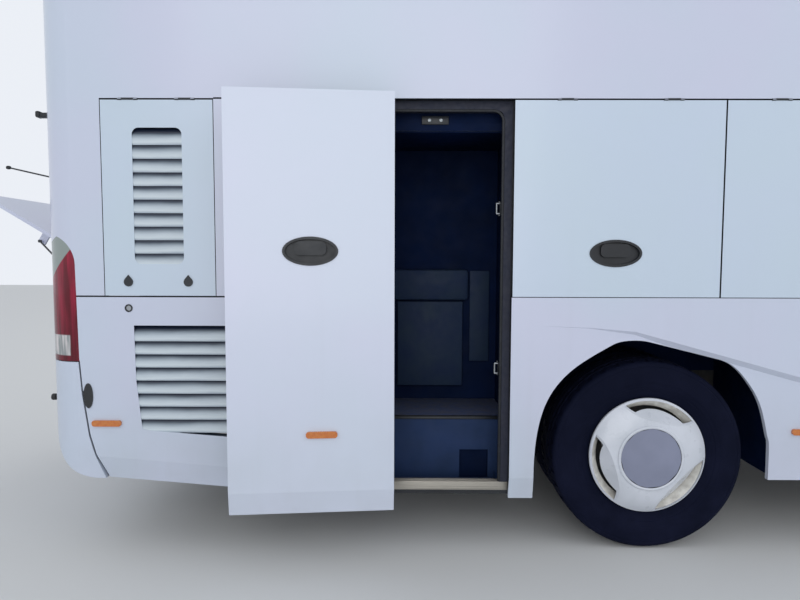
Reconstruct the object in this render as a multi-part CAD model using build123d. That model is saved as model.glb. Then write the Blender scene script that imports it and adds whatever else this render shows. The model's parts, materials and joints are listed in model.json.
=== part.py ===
# A double-deck touring coach on two axles, white, with a tall walk-in locker
# behind the rear wheel on the right side, standing open on its swing arms, and
# the engine lid at the back propped up.
#
# Lengths are in millimetres. X points forward, Y to the left, Z up. Everything
# is drawn from the rear axle line on the floor; the last lines move the coach
# so that the middle of its footprint is at the origin.
from build123d import *

import math
import os

os.makedirs("parts", exist_ok=True)

# Body size
body_width = 2550
body_height = 4000
rear_overhang = 3150
wheelbase = 6100
front_overhang = 2750
body_length = rear_overhang + wheelbase + front_overhang
wall = 50
glass = 8
skin_gap = 8

# Heights above the floor
waist_line = 1335
flap_top = 2327
skirt_rear = 285
skirt_tail = 388
skirt_mid = 387
skirt_front = 300
lower_floor_top = 400
floor_thick = 60
upper_floor_top = 2230
upper_floor_thick = 40
cantrail = 3730
locker_floor_top = 1290
bumper_top = 996

# Stations along the body, measured from the rear axle
rear_split = -2960
front_split = wheelbase + 1680
tail_slope_x = -2823
door_rear_x = -1550
door_front_x = -733
locker_split_x = 321
locker_front_x = 1400
grille_rear_x = -2807
grille_front_x = -2235
front_door_x = (wheelbase + 780, wheelbase + 1620)
passenger_door_z = (310, 2262)

# Running gear
tyre_radius = 504
tyre_width = 298
rim_radius = 286
rim_thick = 9
wheel_inset = 46
twin_spacing = 340
arch_radius = 600
arch_rise = 30
kingpin_inset = 315
running_clearance = 0.1
tow_socket_radius = 14
tow_socket_depth = 80
tow_block = 120

# Windows
upper_glass_z = (2860, 3690)
lower_glass_z = (1352, 2250)
pillar = 90
upper_pane_count = 7
lower_pane_count = 5

# Locker and passenger doors and their swing arms
door_thick = 45
door_swing = 155
door_toe = 5.4
arm_pivot_inset = 120
arm_pivot_ahead = 50
arm_closed_angle = 6.2
tall_arm_length = 323.2
front_arm_length = 380
arm_height = 40
arm_thick = 24
column_radius = 18
bracket_thick = 14

# Flaps and their hinges
flap_thick = 28
knuckle_radius = 5
hinge_pin_radius = 2.4
knuckle_length = 60
ear_length = 18

# Engine lid and its struts
lid_corner = 345
lid_top = 1585
lid_thick = 18
lid_open_angle = 121
strut_inset = 45
strut_foot = (400, -620)
strut_pin = (200, 78)
strut_closing = 398
strut_tube_radius = 11
strut_rod_radius = 5
strut_eye_radius = 9

# Inside
engine_wall_x = -1980
lower_rear_wall_x = 1450
vestibule_depth = 660
step_depth = 250
step_well = 40
step_niche = (-970, -813, 162)
sill_width = 45
step_top = 354
tread_top = 658
panel_thick = 12
frame_lap = 20
wheel_house_gap = 16
front_house_half = 670

half_width = body_width / 2
rear_x = -rear_overhang
front_x = body_length - rear_overhang
wheel_y = half_width - wheel_inset - tyre_width / 2
wheel_house_y = wheel_y - twin_spacing - tyre_width / 2 - wheel_house_gap
lid_half_width = half_width - lid_corner
strut_y = lid_half_width - strut_inset
inside = half_width - wall
far = 5000


def block(x0, x1, y0, y1, z0, z1):
    """A box between two corners."""
    centre = Pos((x0 + x1) / 2, (y0 + y1) / 2, (z0 + z1) / 2)
    return centre * Box(abs(x1 - x0), abs(y1 - y0), abs(z1 - z0))


def both(x0, x1, y0, y1, z0, z1):
    """The same box on the right and on the left."""
    return block(x0, x1, -y0, -y1, z0, z1) + block(x0, x1, y0, y1, z0, z1)


def bar(start, end, radius):
    """A round bar between two points."""
    path = Vector(*end) - Vector(*start)
    return extrude(Plane(origin=start, z_dir=path) * Circle(radius), amount=path.length)


def side_prism(face, y0, y1):
    """A side-view outline, drawn in X and Z, carried across from y0 to y1."""
    low, high = min(y0, y1), max(y0, y1)
    return extrude(Plane.XZ.offset(-high) * face, amount=high - low)


def plan_prism(face, z0, z1):
    """A plan-view outline, drawn in X and Y, carried up from z0 to z1."""
    return extrude(Plane.XY.offset(z0) * face, amount=z1 - z0)


def section_prism(face, x0, x1):
    """A cross-section, drawn in Y and Z, carried forward from x0 to x1."""
    return extrude(Plane.YZ.offset(x0) * face, amount=x1 - x0)


def outline(*edges):
    return make_face(Curve() + list(edges))


def polygon(*points):
    return make_face(Polyline(*points, close=True))


def mirrored(shape):
    """The same piece on the other side of the coach."""
    return mirror(shape, about=Plane.XZ)


def rounded(x0, x1, z0, z1, radius):
    """A rectangle with round corners, by its two corners."""
    return Pos((x0 + x1) / 2, (z0 + z1) / 2) * RectangleRounded(x1 - x0, z1 - z0, radius)


def joined(shapes):
    total = shapes[0]
    for shape in shapes[1:]:
        total += shape
    return total


def turn(point, centre, angle):
    """A point of a plane turned about another, anticlockwise."""
    a = math.radians(angle)
    u, v = point[0] - centre[0], point[1] - centre[1]
    return (centre[0] + u * math.cos(a) - v * math.sin(a), centre[1] + u * math.sin(a) + v * math.cos(a))


# The body's outer form: a side view, a plan and a cross-section, met together.
nose_height = 1000
nose_mid = (front_x - 190, 2600)
nose_brow = (front_x - 600, 3600)
nose_roof = (front_x - 1250, body_height)
tail_corner = 330
corner_start = 620
rear_corner = 190
tumble_start = 2850
tumble_in = 40
roof_edge_in = 290
roof_edge_drop = 35
under_low = 150
tail_foot_x = tail_slope_x - 30
nose_foot_x = front_x - 35


def side_view():
    tail_low = Line((tail_foot_x, under_low), (tail_foot_x, skirt_tail))
    tail_curve = ThreePointArc(tail_low @ 1, (rear_x + 85, 490), (rear_x + 32, 660))
    tail_up = Line(tail_curve @ 1, (rear_x, bumper_top))
    tail_wall = Line(tail_up @ 1, (rear_x, body_height - tail_corner))
    tail_dome = TangentArc(
        tail_wall @ 1, (rear_x + tail_corner, body_height), tangent=(0, 1)
    )
    roof = Line(tail_dome @ 1, nose_roof)
    foot = (nose_foot_x, skirt_front)
    nose_up = Line((front_x, 520), (front_x, nose_height))
    shield = TangentArc(nose_up @ 1, nose_mid, tangent=(0, 1))
    brow = TangentArc(nose_mid, nose_brow, tangent=shield % 1)
    dome = TangentArc(nose_brow, nose_roof, tangent=brow % 1)
    chin = ThreePointArc(foot, (front_x - 9, 410), (front_x, 520))
    chin_low = Line((nose_foot_x, under_low), foot)
    close = Line((nose_foot_x, under_low), (tail_foot_x, under_low))
    return outline(
        tail_low, tail_curve, tail_up, tail_wall, tail_dome, roof,
        dome, brow, shield, nose_up, chin, chin_low, close,
    )


def plan_view():
    front_corner_y = half_width - 420
    front_corner_x = front_x - 95
    right = Line((rear_x + rear_corner, -half_width), (front_x - corner_start, -half_width))
    right_corner = TangentArc(right @ 1, (front_corner_x, -front_corner_y), tangent=(1, 0))
    nose = ThreePointArc(right_corner @ 1, (front_x, 0), (front_corner_x, front_corner_y))
    left = Line((front_x - corner_start, half_width), (rear_x + rear_corner, half_width))
    left_corner = TangentArc(left @ 0, nose @ 1, tangent=(1, 0))
    tail_left = TangentArc(left @ 1, (rear_x, half_width - rear_corner), tangent=(-1, 0))
    tail = Line(tail_left @ 1, (rear_x, -half_width + rear_corner))
    tail_right = TangentArc(right @ 0, tail @ 1, tangent=(-1, 0))
    return outline(right, right_corner, nose, left_corner, left, tail_left, tail, tail_right)


def cross_section():
    edge_y = half_width - roof_edge_in
    edge_z = body_height - roof_edge_drop
    lean_y = half_width - tumble_in
    lines = []
    for side in (-1, 1):
        up = Line((side * half_width, under_low), (side * half_width, tumble_start))
        lean = Line(up @ 1, (side * lean_y, cantrail - 60))
        lines += [up, lean, TangentArc(lean @ 1, (side * edge_y, edge_z), tangent=lean % 1)]
    roof = ThreePointArc((-edge_y, edge_z), (0, body_height), (edge_y, edge_z))
    low = Line((-half_width, under_low), (half_width, under_low))
    return outline(*lines, roof, low)


def inset(face, amount, low_width):
    """The same outline drawn inwards, but still open at its foot."""
    inner = offset(face, -amount)
    foot = Pos((low_width[0] + low_width[1]) / 2, under_low + amount / 2)
    return inner + foot * Rectangle(low_width[1] - low_width[0] - 2 * amount, amount * 2)


side_face = side_view()
plan_face = plan_view()
section_face = cross_section()


def envelope(amount):
    """The whole body as a solid, each face moved in by the given amount."""
    if amount == 0:
        faces = side_face, plan_face, section_face
    else:
        faces = (
            inset(side_face, amount, (tail_foot_x, nose_foot_x)),
            offset(plan_face, -amount),
            inset(section_face, amount, (-half_width, half_width)),
        )
    whole = side_prism(faces[0], -far, far)
    whole &= plan_prism(faces[1], 0, body_height + wall)
    return whole & section_prism(faces[2], rear_x - wall, front_x + wall)


outer = envelope(0)
inner = envelope(wall)
shell = outer - inner
glass_skin = outer - envelope(glass)
flap_skin = outer - envelope(flap_thick)
lid_skin = outer - envelope(lid_thick)
door_skin = outer - envelope(door_thick)

# What is below the skirt line, in side view.
below_skirt = side_prism(
    polygon(
        (rear_x - 200, 0),
        (rear_x - 200, skirt_tail),
        (tail_slope_x, skirt_tail),
        (door_rear_x, skirt_rear),
        (0, skirt_rear),
        (0, skirt_mid),
        (wheelbase, skirt_mid),
        (wheelbase, skirt_front),
        (front_x + 200, skirt_front),
        (front_x + 200, 0),
    ),
    -half_width - wall,
    half_width + wall,
)


# The rear wheel arch is a slanted arc that follows the crease above it; the
# front one is round.
def rear_arch_face():
    left = Line((-607, 0), (-607, 400))
    left_arc = Spline(
        left @ 1, (-591, 638), (-548, 792), (-395, 982), (-230, 1084), (-90, 1116),
        tangents=((0, 1), (1, 0)),
    )
    crest = TangentArc(left_arc @ 1, (-18.6, 1107.2), tangent=(1, 0))
    top = Line(crest @ 1, (336, 1019))
    right_arc = Spline(
        top @ 1, (404, 991), (492, 902), (570, 758), (607, 610), (617, 470),
        tangents=((1, -0.2487), (0, -1)),
    )
    right = Line(right_arc @ 1, (617, 0))
    low = Line((-607, 0), (617, 0))
    return outline(left, left_arc, crest, top, right_arc, right, low)


def round_arch(x, radius):
    """A round wheel opening, down to the floor."""
    centre_z = tyre_radius + arch_rise
    dome = Pos(x, centre_z) * Circle(radius)
    return dome + Pos(x, centre_z / 2) * Rectangle(2 * radius, centre_z)


wheel_openings = side_prism(rear_arch_face(), -half_width - wall, half_width + wall)
wheel_openings += side_prism(
    round_arch(wheelbase, arch_radius), -half_width - wall, half_width + wall
)

# The bumpers meet the sides along seams that lean inwards at the foot.
seam = skin_gap / 2
rear_bumper_region = side_prism(
    polygon(
        (-2953, bumper_top),
        (-2941, 835),
        (-2910, 610),
        (-2882, 510),
        (tail_slope_x, 380),
        (tail_slope_x, 0),
        (rear_x - 100, 0),
        (rear_x - 100, bumper_top),
    ),
    -half_width - wall,
    half_width + wall,
)
front_bumper_top = 548
front_bumper_region = side_prism(
    polygon(
        (front_split + 180, 0),
        (front_split + 180, skirt_front + 40),
        (front_split + 330, front_bumper_top),
        (front_x + 100, front_bumper_top),
        (front_x + 100, 0),
    ),
    -half_width - wall,
    half_width + wall,
)
rear_bumper_gap = rear_bumper_region + Pos(skin_gap, 0, skin_gap) * rear_bumper_region
front_bumper_gap = front_bumper_region + Pos(-skin_gap, 0, skin_gap) * front_bumper_region
rear_bumper = (shell & rear_bumper_region) - below_skirt
front_bumper = (shell & front_bumper_region) - below_skirt

# Tail lamps wrap the rear corners above the bumper, headlamps face forward.
lamp_depth = 26
lamp_skin = outer - envelope(lamp_depth)
tail_lamp_face = outline(
    Line((-2947, bumper_top + seam), (-2955, 1500)),
    TangentArc((-2955, 1500), (-3060, 1640), tangent=(-0.02, 1)),
    Line((-3060, 1640), (rear_x - 60, 1560)),
    Line((rear_x - 60, 1560), (rear_x - 60, bumper_top + seam)),
    Line((rear_x - 60, bumper_top + seam), (-2947, bumper_top + seam)),
)
lamp_inner_y = half_width - 215
tail_lamp_region = side_prism(tail_lamp_face, -half_width - wall, -lamp_inner_y)
tail_lamp_region += mirrored(tail_lamp_region)
tail_lamps = lamp_skin & tail_lamp_region
headlamp_y = (half_width - 515, half_width - 135)
headlamp_z = (600, 800)
headlamp_region = section_prism(
    rounded(-headlamp_y[1], -headlamp_y[0], *headlamp_z, 60), front_split + 400, front_x + wall
)
headlamp_region += mirrored(headlamp_region)
headlamps = lamp_skin & headlamp_region


# The crease over the rear wheel: below it the side is set back, more and more
# towards the front, with a sloping band under the edge.
crease_depth = 24
crease_band = 28
crease_end_x = 2700
crease_slope = (1119 - 932) / (743 - 60)
crease = [
    # x, z of the edge, depth of the set-back below it
    (-565, 1190, 0.5),
    (-330, 1182, 3),
    (-98, 1162, 14),
    (60, 1119, crease_depth),
    (crease_end_x, 1119 - crease_slope * (crease_end_x - 60), crease_depth),
]


def crease_cut():
    """The material taken off the right side below the crease."""
    sections = []
    for x, edge, depth in crease:
        points = [
            (-half_width - 2, edge + 2),
            (-half_width, edge),
            (-half_width + depth, edge - crease_band * depth / crease_depth),
            (-half_width + depth, under_low - 60),
            (-half_width - 2, under_low - 60),
        ]
        sections.append(Plane.YZ.offset(x) * polygon(*points))
    return joined([loft([near, further], ruled=True) for near, further in zip(sections, sections[1:])])


fold_height = 112
fold_in = 22


def skirt_fold(x0, z0, x1, z1):
    """The foot of the side panels, which leans inwards over its last stretch."""
    ends = []
    for x, z in ((x0, z0), (x1, z1)):
        points = [
            (-half_width - 5, z + fold_height),
            (-half_width, z + fold_height),
            (-half_width + fold_in, z - 10),
            (-half_width - 5, z - 10),
        ]
        ends.append(Plane.YZ.offset(x) * polygon(*points))
    return loft(ends, ruled=True)


folds = skirt_fold(rear_x - 50, skirt_tail, tail_slope_x, skirt_tail)
folds += skirt_fold(tail_slope_x, skirt_tail, door_rear_x, skirt_rear)
folds += skirt_fold(door_rear_x, skirt_rear, 0, skirt_rear)


def side_opening(x0, x1, z0, z1, side):
    """A hole through one side wall; side is -1 on the right and 1 on the left."""
    return block(x0, x1, side * (half_width - 4 * wall), side * (half_width + wall), z0, z1)


def side_slice(skin, x0, x1, z0, z1, side):
    """The stretch of a skin between four seams on one side."""
    return skin & block(x0, x1, side * (half_width / 2), side * (half_width + wall), z0, z1)


# Windows are bonded panes, flush in a rebate, with a hole behind each.
pane_gap = 3


def panes(x0, x1, count):
    """Equal panes along a window band, as pairs of x."""
    step = (x1 - x0) / count
    return [(x0 + i * step, x0 + (i + 1) * step) for i in range(count)]


upper_panes = panes(-2860, front_split - 30, upper_pane_count)
lower_right_panes = panes(locker_front_x + 30, front_door_x[0] - 30, lower_pane_count)
lower_left_panes = panes(locker_front_x + 30, front_split - 30, lower_pane_count)


def glaze(pane_list, z_range, side):
    """The panes of one band, and what they take from the wall."""
    made, cuts = [], []
    for x0, x1 in pane_list:
        low, high = z_range[0] + pane_gap, z_range[1] - pane_gap
        made.append(side_slice(glass_skin, x0 + pane_gap, x1 - pane_gap, low, high, side))
        edge = pillar / 2
        cuts.append(side_opening(x0 + edge, x1 - edge, z_range[0] + edge, z_range[1] - edge, side))
    first, last = pane_list[0][0], pane_list[-1][1]
    cuts.append(side_slice(glass_skin, first, last, z_range[0], z_range[1], side))
    return made, cuts


def groove(x0, x1, z0, z1, side, depth=12):
    """A narrow seam in the skin."""
    outside = side * (half_width + wall)
    return block(x0, x1, side * (half_width - depth), outside, z0, z1)


# Louvres: slats like shells, leaning outwards, with a bulge above the foot.
louvre_pitch = 68
louvre_lap = 16
louvre_thick = 5
louvre_bulge = 0.3
louvre_foot_in = 7
louvre_in = 34
upper_slats = (1485, 10)
lower_slats = (628, 8)
upper_louvre = (-2647, -2397, 1500, 2182)
lower_louvre_rear = -2661
lower_louvre_front = -1750
lower_louvre_face = polygon(
    (lower_louvre_rear, 1186),
    (lower_louvre_rear + 4, 907),
    (lower_louvre_rear + 30, 650),
    (lower_louvre_rear + 68, 640),
    (lower_louvre_front, 575),
    (lower_louvre_front, 1186),
)


def louvres(x0, x1, rows, side, depth):
    """Slats across an opening, one above the other, from the lowest foot and their number."""
    slats = []
    for i in range(rows[1]):
        foot = rows[0] + i * louvre_pitch
        head = foot + louvre_pitch + louvre_lap
        knee = foot + louvre_bulge * louvre_pitch
        lines = []
        for back in (0, louvre_thick):
            lines.append(ThreePointArc(
                (side * (half_width - louvre_foot_in - back), foot),
                (side * (half_width - 2 - back), knee),
                (side * (half_width - depth - back), head),
            ))
        outer_line, inner_line = lines
        ends = [Line(outer_line @ 0, inner_line @ 0), Line(outer_line @ 1, inner_line @ 1)]
        slats.append(section_prism(outline(outer_line, inner_line, *ends), x0, x1))
    return joined(slats)


class Hinge:
    """Pins between ears on the fixed piece, and knuckles on the one that moves."""

    def __init__(self, origin, along, stations, radius=knuckle_radius, pin=hinge_pin_radius):
        length = knuckle_length / 2
        ear = length + 1
        tip = ear + ear_length

        def piece(centre, start, end, size):
            way = Vector(*along)
            here = Vector(*origin) + way * centre
            first, last = here + way * start, here + way * end
            return bar((first.X, first.Y, first.Z), (last.X, last.Y, last.Z), size)

        clear = radius + 1.2
        self.fixed_cut = joined([piece(s, -ear, ear, clear) for s in stations])
        self.fixed_add = joined(
            [
                piece(s, -tip, tip, pin) + piece(s, -tip, -ear, radius) + piece(s, ear, tip, radius)
                for s in stations
            ]
        )
        self.moving_cut = joined(
            [piece(s, -tip - 2, -length, clear) + piece(s, length, tip + 2, clear) for s in stations]
        )
        self.moving_add = joined([piece(s, -length, length, radius) for s in stations])
        self.bore = joined([piece(s, -tip, tip, pin + running_clearance) for s in stations])

    def fix(self, shape):
        return shape - self.fixed_cut + self.fixed_add

    def hang(self, shape):
        return shape - self.moving_cut + self.moving_add - self.bore


lockers = [
    # name, rear x, front x, handle centre
    ("rear", door_front_x, locker_split_x, (-212, 1560)),
    ("front", locker_split_x, locker_front_x, (862, 1920)),
]
grille_locks = (-2682, -2377)
grille_lock_z = 1409
lock_radius = 23
lock_tip = 36


def flap_hinge(x0, x1, side):
    quarter = (x1 - x0) / 4
    middle = (x0 + x1) / 2
    stations = [middle - quarter, middle + quarter]
    return Hinge((0, side * half_width, flap_top - seam), (1, 0, 0), stations)


handle_half = (132, 69)
handle_depth = 20
handle_proud = 4


def handle_cut(x, z, side):
    """The oval recess of a handle."""
    shape = Pos(x, z) * Ellipse(*handle_half)
    return side_prism(shape, side * (half_width - handle_depth), side * (half_width + 5))


def handle(x, z, side):
    """A cup with a raised rim and a paddle across it."""
    rim = Pos(x, z) * (Ellipse(*handle_half) - Ellipse(handle_half[0] - 12, handle_half[1] - 12))
    cup = Pos(x, z) * Ellipse(*handle_half)
    paddle = Pos(x, z + 14) * RectangleRounded(150, 66, 24)
    floor_y = side * (half_width - handle_depth)
    made = side_prism(rim, floor_y, side * (half_width + handle_proud))
    made += side_prism(cup, floor_y, side * (half_width - handle_depth + 4))
    return made + side_prism(paddle, floor_y, side * (half_width + 1))


def locker_flap(x0, x1, centre, side):
    """A top-hinged flap with an oval handle."""
    flap = side_slice(flap_skin, x0 + seam, x1 - seam, waist_line + seam, flap_top - skin_gap, side)
    if centre:
        flap = flap - handle_cut(*centre, side) + handle(*centre, side)
    return flap_hinge(x0, x1, side).hang(flap)


def grille_flap(side):
    """The ventilated flap ahead of the rear corner."""
    flap = locker_flap(grille_rear_x, grille_front_x, None, side)
    x0, x1, z0, z1 = upper_louvre
    opening = rounded(x0, x1, z0, z1, 34)
    flap -= side_prism(opening, side * (half_width - 2 * wall), side * (half_width + wall))
    slats = louvres(x0 - 4, x1 + 4, upper_slats, side, flap_thick - louvre_thick - 1)
    reach = side_prism(offset(opening, 4), side * inside, side * (half_width + wall))
    flap += slats & reach
    for x in grille_locks:
        body = Pos(x, grille_lock_z) * teardrop(lock_radius, lock_tip)
        flap += side_prism(body, side * (half_width - 10), side * (half_width + 5))
    return flap


def teardrop(radius, tip):
    """A round knob drawn out to a point above."""
    angle = math.acos(radius / tip)
    side_x, side_z = radius * math.sin(angle), radius * math.cos(angle)
    return outline(
        Line((0, tip), (side_x, side_z)),
        ThreePointArc((side_x, side_z), (0, -radius), (-side_x, side_z)),
        Line((-side_x, side_z), (0, tip)),
    )


key_lock = (-2685, 1275, 20)
oval_cap = (-2905, 821, 24, 65)


def side_fittings(side):
    """The key lock under the grille flap, and the oval cover by the bumper."""
    x, z, radius = key_lock
    made = side_prism(Pos(x, z) * Circle(radius), side * (half_width - 20), side * (half_width + 3))
    made -= side_prism(Pos(x, z) * Circle(radius - 7), side * half_width, side * (half_width + 5))
    x, z, wide, high = oval_cap
    cap = Pos(x, z) * Ellipse(high, wide, rotation=90)
    return made + side_prism(cap, side * (half_width - 20), side * (half_width + 5))


marker_size = (152, 32, 12)


def marker(x, z, side, depth=0):
    """A side marker lamp, standing on the skin or on the part set back."""
    long, high, proud = marker_size
    face = rounded(x - long / 2, x + long / 2, z - high / 2, z + high / 2, 14)
    seat = half_width - depth
    return side_prism(face, side * seat, side * (seat + proud))


def side_wall(side):
    """One side of the body from the rear corner to the front mask, less its openings."""
    piece = shell & block(
        rear_split, front_split, side * (half_width - 130), side * (half_width + wall),
        under_low, cantrail,
    )
    piece -= below_skirt
    piece -= wheel_openings
    piece -= rear_bumper_gap
    piece -= tail_lamp_region
    lower = lower_right_panes if side < 0 else lower_left_panes
    glazing = []
    for pane_list, z_range in ((upper_panes, upper_glass_z), (lower, lower_glass_z)):
        made, cuts = glaze(pane_list, z_range, side)
        glazing += made
        for cut in cuts:
            piece -= cut
    for name, x0, x1, centre in lockers:
        piece -= side_opening(x0, x1, waist_line, flap_top, side)
        piece = flap_hinge(x0, x1, side).fix(piece)
    piece -= side_opening(grille_rear_x, grille_front_x, waist_line, flap_top, side)
    piece = flap_hinge(grille_rear_x, grille_front_x, side).fix(piece)
    piece -= side_prism(lower_louvre_face, side * (half_width - 2 * wall), side * (half_width + wall))
    slats = louvres(lower_louvre_rear - 15, lower_louvre_front + 15, lower_slats, side, louvre_in)
    reach = side_prism(offset(lower_louvre_face, 12), side * inside, side * (half_width + wall))
    piece += slats & reach
    piece += side_fittings(side)
    piece -= groove(rear_split, door_rear_x, waist_line - seam, waist_line + seam, side)
    piece -= groove(grille_front_x, door_rear_x, flap_top - seam, flap_top + seam, side)
    if side < 0:
        piece -= side_opening(door_rear_x, door_front_x, 0, flap_top, side)
        piece -= side_opening(*front_door_x, 0, passenger_door_z[1], side)
        piece -= folds
        piece -= crease_cut()
    else:
        piece -= groove(door_rear_x - seam, door_rear_x + seam, 0, flap_top, side)
        piece -= groove(door_front_x - skin_gap, door_front_x, 0, flap_top, side)
        piece -= mirrored(folds)
        piece -= mirrored(crease_cut())
    return piece, glazing


side_wall_right, window_list = side_wall(-1)
side_wall_left, left_windows = side_wall(1)
window_list += left_windows

# Roof with two glass hatches, front mask and rear wall.
hatch_size = (700, 620)
hatch_rim = 45
hatch_ledge = 20
hatch_stations = (-600, 4900)
roof_shell = shell & block(
    rear_split, front_split, -half_width, half_width, cantrail, body_height + wall
)


def hatch_hole(x, inset_by, z0, z1):
    opening = Pos(x, 0) * Rectangle(hatch_size[0] - 2 * inset_by, hatch_size[1] - 2 * inset_by)
    return plan_prism(opening, z0, z1)


for hatch_x in hatch_stations:
    roof_shell += hatch_hole(hatch_x, 0, body_height - wall - 10, body_height)
    roof_shell -= hatch_hole(hatch_x, hatch_rim, body_height - 35, body_height + wall)
    roof_shell -= hatch_hole(hatch_x, hatch_rim + hatch_ledge, cantrail, body_height + wall)
    window_list.append(
        hatch_hole(hatch_x, hatch_rim + pane_gap, body_height - 35, body_height - 35 + glass)
    )


def windscreen(z0, z1, x_min, edge):
    """A wrapped pane at the front, and what it takes from the mask."""
    wide = half_width + wall
    whole = block(x_min, front_x + wall, -wide, wide, z0, z1)
    pane = block(x_min + pane_gap, front_x + wall, -wide, wide, z0 + pane_gap, z1 - pane_gap)
    hole = block(x_min + edge, front_x + wall, -wide, wide, z0 + edge, z1 - edge)
    return glass_skin & pane, (glass_skin & whole) + (shell & hole)


front_shell = shell & block(
    front_split, front_x + wall, -half_width, half_width, under_low, body_height + wall
)
front_shell -= below_skirt
front_shell -= front_bumper_gap
front_shell -= headlamp_region
screens = [
    # foot, head, rear edge, rim
    (1080, 2230, front_x - 620, 50),
    (2560, 3660, front_x - 890, 50),
]
windscreens = []
for screen in screens:
    pane, cut = windscreen(*screen)
    windscreens.append(pane)
    front_shell -= cut

rear_glass_half = 930
rear_glass_z = (2620, 3420)
rear_glass_rim = 50


def rear_pane(inset_by, x0, x1):
    low, high = rear_glass_z[0] + inset_by, rear_glass_z[1] - inset_by
    half = rear_glass_half - inset_by
    return section_prism(rounded(-half, half, low, high, 80 - inset_by), x0, x1)


rear_shell = shell & block(
    rear_x - wall, rear_split, -half_width, half_width, under_low, body_height + wall
)
rear_shell -= below_skirt
rear_shell -= rear_bumper_gap
rear_shell -= tail_lamp_region
rear_shell -= folds + mirrored(folds)
rear_shell -= rear_pane(0, rear_x - wall, rear_x + glass)
rear_shell -= rear_pane(rear_glass_rim, rear_x - wall, rear_x + 2 * wall)
window_list.append(rear_pane(pane_gap, rear_x, rear_x + glass))
rear_shell -= block(
    rear_x - wall, rear_x + 100, -lid_half_width - skin_gap, lid_half_width + skin_gap,
    bumper_top - wall, lid_top + skin_gap,
)
camera_z = 2300
rear_shell += block(rear_x - 78, rear_x + 5, -60, 60, camera_z - 26, camera_z + 26)

# Engine lid, drawn closed and then raised about its hinge.
lid_axis_z = lid_top + seam
lid_axis = Axis((rear_x, 0, lid_axis_z), (0, 1, 0))
lid_hinge = Hinge((rear_x, 0, lid_axis_z), (0, 1, 0), (-620, 620), radius=9, pin=5)
rear_shell = lid_hinge.fix(rear_shell)
lid_foot = bumper_top + skin_gap
lid_rib_depth = 18
engine_lid = lid_skin & block(
    rear_x - wall, rear_x + 100, -lid_half_width, lid_half_width, lid_foot, lid_top
)
rib_out = rear_x + lid_thick + lid_rib_depth
rib_half = lid_half_width - 130
lid_ribs = block(rear_x + lid_thick - 4, rib_out, -rib_half, rib_half, lid_foot + 60, lid_top - 60)
lid_ribs -= both(rear_x, rib_out + 10, 20, rib_half - 40, lid_foot + 100, lid_top - 100)
engine_lid += lid_ribs
stud_gap = 6
pin_x = rear_x + strut_pin[1]
pin_z = lid_axis_z - strut_pin[0]
stud_tip_y = strut_y - 6 - stud_gap
for side in (-1, 1):
    near = side * (stud_tip_y - 22)
    engine_lid += block(
        rear_x + lid_thick - 4, pin_x + 12, near, near + side * 10, pin_z - 22, pin_z + 22
    )
    engine_lid += bar((pin_x, near, pin_z), (pin_x, side * stud_tip_y, pin_z), 7)
engine_lid = lid_hinge.hang(engine_lid).rotate(lid_axis, lid_open_angle)

# Gas struts, from posts in the engine bay to the raised lid.
base_x, base_z = rear_x + strut_foot[0], lid_axis_z + strut_foot[1]
head_x, head_z = turn((pin_x, pin_z), (rear_x, lid_axis_z), -lid_open_angle)
strut_length = math.hypot(head_x - base_x, head_z - base_z)
strut_closed = strut_length - strut_closing
tube_end = strut_closed - 34
rod_start = 50 + strut_closing


def along_strut(distance, side):
    share = distance / strut_length
    return (base_x + (head_x - base_x) * share, side * strut_y, base_z + (head_z - base_z) * share)


def cross_bar(x, z, y0, y1, radius):
    """A round bar across the coach."""
    return bar((x, y0, z), (x, y1, z), radius)


def strut(side):
    """The tube with its foot eye, and the rod with its head eye."""
    y = side * strut_y
    tube = bar(along_strut(5, side), along_strut(tube_end, side), strut_tube_radius)
    tube += cross_bar(base_x, base_z, y - 8, y + 8, 15)
    tube -= bar(
        along_strut(44, side), along_strut(tube_end + 5, side), strut_rod_radius + running_clearance
    )
    tube -= cross_bar(base_x, base_z, y - 20, y + 20, 7 + running_clearance)
    rod = bar(along_strut(rod_start, side), along_strut(strut_length - 4, side), strut_rod_radius)
    rod += cross_bar(head_x, head_z, y - 6, y + 6, strut_eye_radius)
    return tube, rod


tubes, rods = zip(strut(-1), strut(1))
strut_tubes = tubes[0] + tubes[1]
strut_rods = rods[0] + rods[1]


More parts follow.
